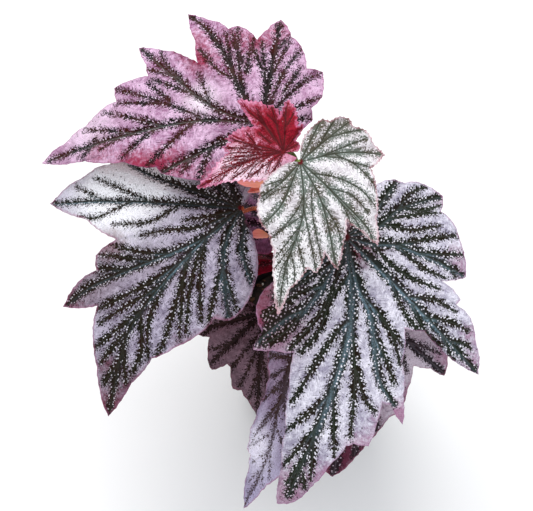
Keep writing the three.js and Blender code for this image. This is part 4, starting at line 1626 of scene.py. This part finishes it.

# In the patches, the gleam is a painted reflection, the dusk mostly painted shade with some duller tone of
# the leaf's own, and the frost a paler pearl, partly a painted highlight.
LEAVES = (
    Leaf("upper_left", (-29, 54, 213), 190, 4, -14, (260, 280), 1.6, "leaf_mauve", MAUVE,
         ((-24, 22, 190), (-23, 40, 196), (-27, 51, 204)),
         "e-203:20 t-184:27 n-173:27 o-165:35 t-147:45 n-138:39 o-127:49 e-118:55 t-110:66 e-104:56 n-98:49 "
         "o-88:60 n-83:59 e-77:69 t-70:82 e-65:62 n-57:49 e-52:69 t-47:86 e-42:74 n-37:68 t-29:86 e-24:82 "
         "o-20:90 o-15:97 e-10:110 t-6:126 e-3:98 e2:75 o8:65 n10:59 t14:58 o43:37 o66:25 e88:8",
         ("-16:32 -9:76 -6:121", "-32:26 -47:85", "-71:24 -75:45 -73:67 -70:81", "-110:64", "14:58"),
         ("-75:4 -75:23 -88:60", "-108:4 -108:16 -101:48", "-123:4 -123:32 -127:49", "-144:4 -144:33 -147:44",
          "-165:4 -165:35", "176:4 176:27", "-25:55 -23:81", "-27:50 -34:66", "-9:90 -4:100",
          "-86:30 -92:41 -96:49", "-84:36 -84:57", "-135:20 -134:37", "-18:30 -27:63 -29:92",
          "-12:51 -19:87", "-10:69 -13:97", "-15:35 8:63", "-10:57 0:76", "-9:76 -5:88", "-37:34 -36:64",
          "-32:28 -52:44", "13:27 30:43", "14:38 20:48", "-42:48 -47:66 -50:72", "-44:52 -39:76",
          "-72:29 -64:38 -64:56", "-71:26 -77:41 -81:57", "-85:39 -82:51", "-112:29 -118:50",
          "-111:44 -117:54", "-101:31 -94:44"),
         ((Patch.BLUSH, 10, 62, 8, 0.9), (Patch.BLUSH, 12, 50, 9, 0.7), (Patch.BLUSH, 4, 72, 9, 0.8),
          (Patch.BLUSH, 36, 40, 8, 0.7), (Patch.EMBER, 12, 60, 7, 0.6), (Patch.EMBER, -72, 44, 18, 0.15),
          (Patch.EMBER, -59, 50, 7, 0.9), (Patch.BLUSH, -62, 62, 9, 0.8), (Patch.EMBER, -98, 48, 5, 0.8),
          (Patch.BLUSH, -88, 52, 12, 0.35), (Patch.BLUSH, -110, 56, 9, 0.5), (Patch.BLUSH, -4, 90, 9, 0.4),
          (Patch.FROST_AND_HIGHLIGHT, -34, 34, 12, 0.9), (Patch.FROST_AND_HIGHLIGHT, -14, 95, 22, 0.6), (Patch.EMBER, -86, 38, 12, 0.12),
          (Patch.GLEAM, -12, 60, 40, 0.6)),
         band=2.0, side_band=1.15, gleam=0.05),
    Leaf("left", (-40, 23, 181), 226, 10, -12, (230, 260), 1.8, "leaf_two_tone", TWO_TONE,
         ((-17, 11, 153), (-22, 25, 160), (-31, 30, 169)),
         "e-180:5 o-167:14 o-137:25 t-100:47 n-85:49 t-75:76 n-67:76 e-59:91 t-50:109 e-44:85 n-33:68 "
         "o-29:81 n-24:84 e-23:96 t-19:111 n-13:92 o-6:105 e0:115 t9:135 e10:112 o12:93 e18:81 e25:70 "
         "e28:65 n30:60 t38:60 e45:53 o54:41 e60:32 e65:19 e68:8",
         ("-51:77 -50:106", "-6:24 -20:91 -19:108", "-6:23 0:85 5:109 9:133", "19:19 28:34 37:58",
          "65:6 45:23 52:40", "-69:59 -72:69", "-89:25", "-114:17"),
         ("-16:10 -21:25 -29:40 -31:54", "-25:6 -29:16 -33:30", "-50:45 -60:82", "-51:74 -56:93",
          "-49:33 -38:48 -40:68", "-51:59 -44:79 -45:88", "-13:44 -23:58 -34:77", "-16:55 -29:79",
          "-18:68 -24:81 -26:90", "-3:38 -7:62 -12:94", "-2:57 -8:96", "-1:75 -4:110", "0:91 0:112",
          "4:104 4:120", "-3:36 13:80 13:96", "-2:55 4:76 11:94", "0:31 12:51 20:73", "-6:24 11:39 24:63",
          "-1:76 8:92 9:106", "2:96 9:112", "-4:39 18:76", "27:32 27:51 28:67", "28:34 41:54"),
         # The frost on the upper lobes is partly a painted highlight, where they face the sky.
         ((Patch.FROST_AND_HIGHLIGHT, -50, 72, 34, 1.0), (Patch.FROST_AND_HIGHLIGHT, -75, 55, 26, 0.9), (Patch.EMBER, -19, 110, 12, 0.7),
          (Patch.EMBER, 9, 130, 14, 0.9), (Patch.EMBER, -31, 72, 8, 0.7), (Patch.BLUSH, 22, 80, 9, 0.5),
          (Patch.BLUSH, 12, 108, 9, 0.5), (Patch.BLUSH, 32, 62, 8, 0.4),
          (Patch.EMBER, 2, 110, 6, 0.5), (Patch.DUSK, -100, 22, 14, 1.0), (Patch.DUSK, -20, 90, 18, 0.8),
          (Patch.DUSK, 6, 112, 16, 0.45), (Patch.DUSK, -12, 55, 16, 0.4), (Patch.DUSK, 0, 4, 8, 0.8),
          (Patch.GLEAM, 30, 38, 30, 1.0), (Patch.GLEAM, 4, 45, 14, 0.7), (Patch.GLEAM, -50, 75, 34, 0.9)),
         band=2.5, side_band=1.6, gleam=0.1),
    Leaf("top", (-10, 14, 237), 262, 14, -5, (160, 170), 1.2, "leaf_silver", SILVER,
         ((-20, 33, 210), (-17, 30, 222), (-13, 22, 231)),
         "e-81:5 e-62:13 o-50:23 n-42:26 t-37:30 o-25:36 e-16:38 o-8:46 e-4:61 t0:76 e3:63 n12:52 o16:55 "
         "n23:46 t27:56 e37:44 n46:36 e50:45 t52:56 e62:47 o76:41 n95:35 t108:44 e116:39 o128:38 n135:33 "
         "t143:36 o149:33 n154:27 o163:26 e179:14 e187:6",
         ("11:25 0:54 0:71", "35:22 27:54", "54:46 52:52", "113:23 108:41", "141:34", "163:24",
          "-16:25 -23:37", "-33:13 -39:25"),
         ("11:22 16:54", "9:27 -15:42", "7:32 -6:48", "4:39 -5:53", "2:45 -2:54 -2:61", "5:38 10:54 9:58",
          "2:45 5:53 5:62", "1:53 2:60", "13:17 3:25 -11:39", "33:13 20:27 20:50", "35:23 37:35 33:52",
          "55:17 51:32 42:50", "53:27 51:42 47:49", "53:18 65:29 62:41", "112:18 99:26 95:39",
          "111:13 103:22 88:33 80:40", "52:8 74:19 74:32 69:42", "114:10 121:35", "140:20 129:37",
          "140:12 151:28", "-12:13 -30:18 -35:26", "-32:11 -46:20"),
         # The frost at the tip is partly a painted highlight, where the blade droops away from the light.
         ((Patch.FROST_AND_HIGHLIGHT, -2, 58, 22, 0.9), (Patch.BLUSH, 0, 73, 7, 0.5), (Patch.BLUSH, 52, 54, 6, 0.5),
          (Patch.DUSK, 144, 34, 12, 0.7),
          (Patch.DUSK, 166, 24, 10, 0.6), (Patch.BLUSH, 108, 42, 5, 0.4), (Patch.GLEAM, 20, 22, 24, 0.8)),
         band=1.9, side_band=0.65, gleam=0.3, fold=1.2, side_fold=0.5, pucker=0.15,
         pucker_size=3.5, ray_step=0.65, ring_step=1.0, tooth_step=2.6, tooth_height=0.9,
         ripple=0.5, stalk_finish=GREEN_SKIN),
    Leaf("right", (14, -2, 193), 254, 10, -8, (210, 230), 2.0, "leaf_lavender", LAVENDER,
         ((-10, 4, 118), (-2, 8, 140), (8, 4, 165)),
         "e-73:6 e-44:21 e-41:38 t-40:51 e-35:59 n-25:65 t-23:75 e-16:69 n-8:65 e-4:83 e-1:103 e1:124 "
         "t2:144 e4:143 e6:139 e9:128 e12:117 n16:106 e18:105 o22:107 e25:96 n28:86 e31:89 t33:101 e36:87 "
         "e40:70 n48:55 e57:63 e58:82 t62:101 e69:87 e75:75 n76:66 o79:67 n83:54 t92:68 o112:61 n125:54 "
         "t134:62 o144:54 n151:45 o157:45 o168:33 e181:18 e188:15 e205:18 e224:12 e248:8",
         ("21:28 17:48 10:81 4:137", "29:28 33:40 29:74 32:89", "62:98", "93:14 99:27 92:66",
          "127:19 137:32 134:60", "149:18 156:44", "-6:14 -13:42 -20:52 -24:72", "-28:19 -33:47"),
         ("17:44 11:48 -2:89", "10:81 -1:104", "8:96 1:122", "6:112 3:131", "19:38 19:71 17:102",
          "20:68 22:82 25:90", "11:78 13:112", "7:100 8:126", "6:124 7:131", "30:31 40:47 40:61 39:71",
          "38:45 43:62", "31:52 34:69 34:79", "64:29 53:49 54:60 56:70", "61:58 67:66 70:79",
          "62:44 71:54 73:67", "62:69 58:86", "63:77 66:84 66:88", "61:48 57:59 58:74", "99:27 111:60",
          "96:38 99:51 102:66", "97:28 85:42 86:55", "95:49 92:58 87:62", "93:14 75:24 74:40 78:54",
          "137:32 143:44 142:54", "132:24 124:53", "128:20 114:35 116:50", "137:35 128:44 129:56",
          "-10:29 -22:37 -28:57", "-11:33 -16:58 -21:69", "-6:14 -29:40", "15:7 -2:40 -10:64",
          "19:20 2:34 0:50 -5:63"),
         ((Patch.EMBER, -41, 50, 12, 0.75), (Patch.EMBER, -27, 61, 8, 0.5), (Patch.DUSK, -22, 68, 13, 0.8),
          (Patch.DUSK, -33, 54, 19, 1.0), (Patch.DUSK, -14, 57, 11, 0.5), (Patch.DUSK, 4, 140, 12, 0.7),
          (Patch.EMBER, -5, 5, 10, 0.8), (Patch.EMBER, 72, 9, 10, 0.6), (Patch.EMBER, -81, 8, 11, 0.7),
          (Patch.BLUSH, 29, 98, 9, 0.8), (Patch.BLUSH, 20, 108, 8, 0.8), (Patch.BLUSH, 12, 124, 8, 0.8),
          (Patch.BLUSH, 4, 134, 15, 0.7), (Patch.BLUSH, 34, 95, 7, 0.7), (Patch.BLUSH, 63, 94, 7, 0.7),
          (Patch.BLUSH, 70, 82, 6, 0.6), (Patch.BLUSH, 94, 64, 6, 0.6), (Patch.BLUSH, 101, 60, 6, 0.5),
          (Patch.BLUSH, 133, 62, 7, 0.6), (Patch.GLEAM, 60, 45, 32, 0.9), (Patch.GLEAM, 15, 50, 28, 0.9),
          (Patch.GLEAM, 11, 84, 18, 0.7)), gleam=0.12),
    Leaf("young", (-18, 21, 235), 200, 8, -10, (200, 260), 0.8, "leaf_crimson_pink", YOUNG,
         ((-17, 37, 219), (-19, 31, 225)),
         "e-198:7 o-178:9 n-152:9 o-146:18 n-137:15 e-131:20 o-125:25 t-115:30 e-111:25 n-105:19 e-102:25 "
         "t-98:28 n-93:26 o-89:30 e-81:34 t-74:39 e-72:31 n-67:19 o-58:24 e-48:28 t-39:31 n-37:26 o-29:31 "
         "n-24:28 o-18:31 o-12:35 e-6:40 t-2:47 e0:40 o3:33 e10:25 o20:21 t35:17 e45:14 o61:9 e96:7 e135:7",
         ("-81:14 -72:38", "-98:26", "-114:28", "-146:17", "-169:9", "-38:31", "-29:31", "-18:29",
          "-9:17 -2:45", "14:20", "41:13"),
         ("14:7 26:13", "-9:12 2:20 4:29", "-9:17 -15:25 -14:30", "41:5 60:8", "-18:12 -14:22", "-2:30 2:37",
          "-38:14 -52:21", "-38:10 -33:20", "-60:8 -62:16", "-80:15 -82:28", "-100:15 -90:22",
          "-77:8 -80:25", "-11:14 -9:31", "-8:20 0:26", "-29:11 -41:30", "-23:11 -23:30", "-119:15 -124:22",
          "-114:18 -108:24", "9:12 19:17", "-6:7 4:16 13:22"),
         ((Patch.EMBER, -80, 12, 12, 0.55), (Patch.EMBER, -112, 20, 13, 0.7),
          (Patch.EMBER, -150, 12, 12, 0.8),
          (Patch.EMBER, -76, 28, 11, 0.45), (Patch.BLUSH, -60, 18, 9, 0.4), (Patch.EMBER, -38, 28, 6, 0.35),
          (Patch.FROST_AND_HIGHLIGHT, 30, 14, 12, 0.9), (Patch.FROST_AND_HIGHLIGHT, 4, 28, 14, 1.0), (Patch.FROST_AND_HIGHLIGHT, -24, 22, 9, 0.6)),
         band=1.5, side_band=0.8, fold=0.9, side_fold=0.4, pucker=0.1, pucker_size=2.6, ray_step=0.6,
         ring_step=0.8, tooth_step=2.9, tooth_height=1.5, ripple=0.4),
    Leaf("low_left", (-28, -8, 121), 256, 18, -4, (110, 120), 1.2, "leaf_plum", PLUM,
         ((-6, 0, 93), (-14, 1, 101), (-24, -4, 110)),
         "e-122:5 e-111:13 o-101:23 o-82:35 t-63:44 n-52:33 e-41:39 e-34:43 t-29:44 e-25:39 e-22:35 n-18:35 "
         "e-13:41 o-9:46 o-3:45 e3:51 e6:55 t10:60 e15:56 e23:42 o40:25 o88:16 t131:18 e157:6",
         ("9:57", "-33:43", "-62:43", "26:34", "131:15", "-100:20"),
         ("9:16 -5:43", "10:10 -18:39", "10:21 17:47", "-33:15 -37:29 -44:39", "-65:17 -62:28 -55:39",
          "10:29 3:51"), band=1.7, side_band=0.8, ray_step=1.2, ring_step=1.2),
    Leaf("low_front", (-6, -28, 137), 250, 16, 22, (260, 60), 1.2, "leaf_lilac", LILAC,
         ((7, -10, 92), (3, -15, 105), (-3, -23, 120)),
         "e-122:8 e-98:15 t-88:25 e-70:25 e-55:25 e-39:26 o-23:30 n-18:39 e-17:47 e-16:55 e-15:65 t-14:71 "
         "n-10:72 e-9:80 e-8:90 t-7:102 e-4:96 o-1:88 e1:84 n5:79 t13:69 n14:56 t17:41 o26:22 e41:11 e76:7 "
         "e120:6 e155:6",
         ("-8:17 -3:33 -2:47 -1:66 -4:85 -7:100", "-1:35 -10:54 -13:69", "-1:35 9:53 13:68", "-84:15 -87:24",
          "17:40"),
         ("-3:33 -11:35 -17:43", "-2:45 -8:53 -12:63", "-2:57 -7:62 -12:68", "-1:67 -5:71 -8:76",
          "-2:77 -5:81 -7:86", "-1:62 1:72 2:80", "-7:21 -19:29", "-5:29 -12:34", "-10:16 -38:21 -52:24",
          "-4:86 -6:92", "-1:51 6:61 8:73", "-2:78 -1:85", "-30:13 -41:26"),
         ((Patch.DUSK, -20, 25, 26, 0.5), (Patch.FROST_AND_HIGHLIGHT, -8, 72, 18, 0.7), (Patch.FROST_AND_HIGHLIGHT, -10, 62, 12, 0.5)),
         band=1.0, side_band=0.5, ray_step=1.2, ring_step=1.2),
    Leaf("low_right", (20, -9, 140), 262, 14, -5, (200, 200), 1.5, "leaf_dusky", DUSKY,
         ((10, -9, 104), (12, -7, 116), (17, -6, 129)),
         "e-100:9 e-76:13 o-48:18 o-26:29 t-13:62 n-6:79 o-1:95 t2:99 e14:79 e25:68 t33:66 e39:58 n50:49 "
         "e57:58 t59:67 o67:63 e80:53 n98:41 o124:29 o157:15 e175:5",
         ("60:67", "21:30 6:56 2:98", "84:27 79:52", "-49:34 -37:56", "33:66", "118:28"),
         ("59:23 50:39 44:49", "59:36 67:57", "59:30 49:41", "21:19 28:42 28:59", "12:40 19:73",
          "6:56 10:72 9:86", "9:48 -1:62 -5:79"),
         ((Patch.EMBER, 0, 92, 14, 1.0), (Patch.EMBER, 10, 78, 14, 0.9), (Patch.DUSK, 4, 70, 24, 0.8),
          (Patch.DUSK, -20, 40, 16, 0.6), (Patch.FROST_AND_HIGHLIGHT, 50, 46, 18, 0.8), (Patch.BLUSH, 36, 60, 7, 0.7),
          (Patch.BLUSH, 66, 60, 7, 0.6), (Patch.GLEAM, 40, 40, 18, 0.7))),
    Leaf("inner", (-21, 29, 151), 182, 8, 6, (120, 90), 1.0, "leaf_purple", PURPLE,
         ((-13, 7, 134), (-13, 20, 138), (-19, 27, 143)),
         "e-120:9 o-91:18 o-75:33 t-67:43 n-50:38 t-47:53 n-29:44 t-18:51 n4:29 t24:25 o47:19 e60:18 e75:17 "
         "e90:12 e112:9",
         ("-67:42", "-47:52", "-18:50", "24:24"),
         ("-67:18 -76:30", "-47:22 -54:36", "-47:28 -40:42", "-18:20 -27:38", "-18:24 -9:38"),
         band=2.4, side_band=1.4, ray_step=1.2, ring_step=1.2),
    Leaf("crimson", (-19, 20, 129), 186, 4, 10, (90, 70), 0.6, "leaf_crimson", CRIMSON,
         ((-10, 5, 116), (-13, 14, 118), (-18, 18, 122)),
         "e-106:4 o-67:8 e-57:13 o-49:19 t-38:25 n-15:24 t1:26 o18:19 e32:11 o50:7 e70:4",
         ("-38:24", "1:25"), ("-38:11 -50:17", "1:11 14:18", "1:13 -10:21"),
         band=1.4, side_band=0.8, fold=0.8, side_fold=0.3, pucker=0.12, pucker_size=3, ray_step=0.9,
         ring_step=0.8, tooth_step=3),
)

STEMS = (
    Stem("cane", ((-4, -2, 46), (-4, -2, 78), (-10, 4, 116), (-16, 9, 148), (-24, 18, 180), (-22, 30, 205),
                  (-16, 38, 221)), 4.0, 2.4),
    Stem("side_shoot", ((9, -8, 52), (9, -8, 78), (8, -10, 93), (11, -9, 108)), 3.0, 2.2, rows=120),
)
STIPULES = (
    Stipule("stipule_top", (-25, 26, 200), 184, 5, 10, 17, 10),
    Stipule("stipule_middle", (-25, 13, 170), 196, 4, 20, 10, 8),
    Stipule("stipule_small", (-26, 25, 196), 204, 5, 25, 11, 5),
)


# ---------------------------------------------------------------- the studio

@dataclass(frozen=True)
class Light:
    """A square softbox that looks at a point: its place and target in metres, side and power."""

    name: str
    place: tuple[float, float, float]
    side: float
    power: float
    colour: tuple[float, float, float] = (1.0, 1.0, 1.0)
    target: tuple[float, float, float] = (0.0, 0.0, 0.12)

    def build(self) -> None:
        """Makes the lamp and turns it to its target."""
        lamp = bpy.data.lights.new(self.name, "AREA")
        lamp.energy, lamp.size, lamp.color = self.power, self.side, self.colour
        thing = bpy.data.objects.new(self.name, lamp)
        thing.location = self.place
        way = Vector(self.target) - Vector(self.place)
        thing.rotation_euler = way.to_track_quat("-Z", "Y").to_euler()
        bpy.context.scene.collection.objects.link(thing)


@dataclass(frozen=True)
class Studio:
    """A plain pale floor, an even pale sky, softboxes, and a camera that looks down at 60 degrees."""

    camera_at: tuple[float, float, float] = (-0.0264, -0.3301, 0.7423)
    camera_turn: float = 30
    lens: float = 85
    floor_side: float = 6.0
    paper: tuple[str, str] = ("FBFBFA", "F6F7F8")
    sky: str = "F4F6FA"
    sky_power: float = 0.82
    lights: tuple[Light, ...] = (
        Light("key_softbox", (-0.2, 0.7, 1.3), 0.9, 11.5, (1.0, 0.99, 0.97)),
        Light("front_fill", (0.6, -1.0, 1.0), 1.3, 6.0, (0.95, 0.97, 1.0)),
    )

    def floor_material(self) -> bpy.types.Material:
        """Matt paper: near white with a faint cloud, and a tooth drawn coarse, at 0.9 mm.

        Returns:
            The material.
        """
        material, add = new_material("studio_paper")
        place = add(COORDINATE, out="Object")
        cloud = add(NOISE, Vector=place, Scale=per_mm(180), Detail=2.0)
        tooth = add(NOISE, Vector=place, Scale=per_mm(0.9), Detail=2.0)
        surface(add, add(MIX, cloud, *self.paper), 0.9, tooth, 0.1, 0.05)
        return material

    def build(self) -> None:
        """Makes the floor, the sky, the lights and the camera."""
        scene = bpy.context.scene
        half = self.floor_side / 2
        corners = [(-half, -half, 0), (half, -half, 0), (half, half, 0), (-half, half, 0)]
        mesh = bpy.data.meshes.new("studio_floor")
        mesh.from_pydata(corners, [], [(0, 1, 2, 3)])
        mesh.materials.append(self.floor_material())
        floor = bpy.data.objects.new("studio_floor", mesh)
        scene.collection.objects.link(floor)
        world = bpy.data.worlds.new("studio_sky")
        world.use_nodes = True
        background = world.node_tree.nodes["Background"]
        background.inputs["Color"].default_value = linear(self.sky)
        background.inputs["Strength"].default_value = self.sky_power
        scene.world = world
        for light in self.lights:
            light.build()
        camera = bpy.data.cameras.new("photo_camera")
        camera.lens = self.lens
        thing = bpy.data.objects.new("photo_camera", camera)
        thing.location = self.camera_at
        thing.rotation_euler = (math.radians(self.camera_turn), 0, 0)
        scene.collection.objects.link(thing)
        scene.camera = thing
        scene.view_settings.view_transform = "Standard"


def main() -> None:
    """Builds the pot, the mix, the stems, the leaves and the studio, in this order."""
    logging.basicConfig(level=logging.INFO, format="%(message)s")
    pot = Pot()
    pot.build()
    Soil(pot).build()
    for part in (*STEMS, *STIPULES):
        part.build()
    for leaf in LEAVES:
        Blade(leaf).build()
        Stalk(leaf).build()
    Studio().build()
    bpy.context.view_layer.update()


if __name__ == "__main__":
    main()
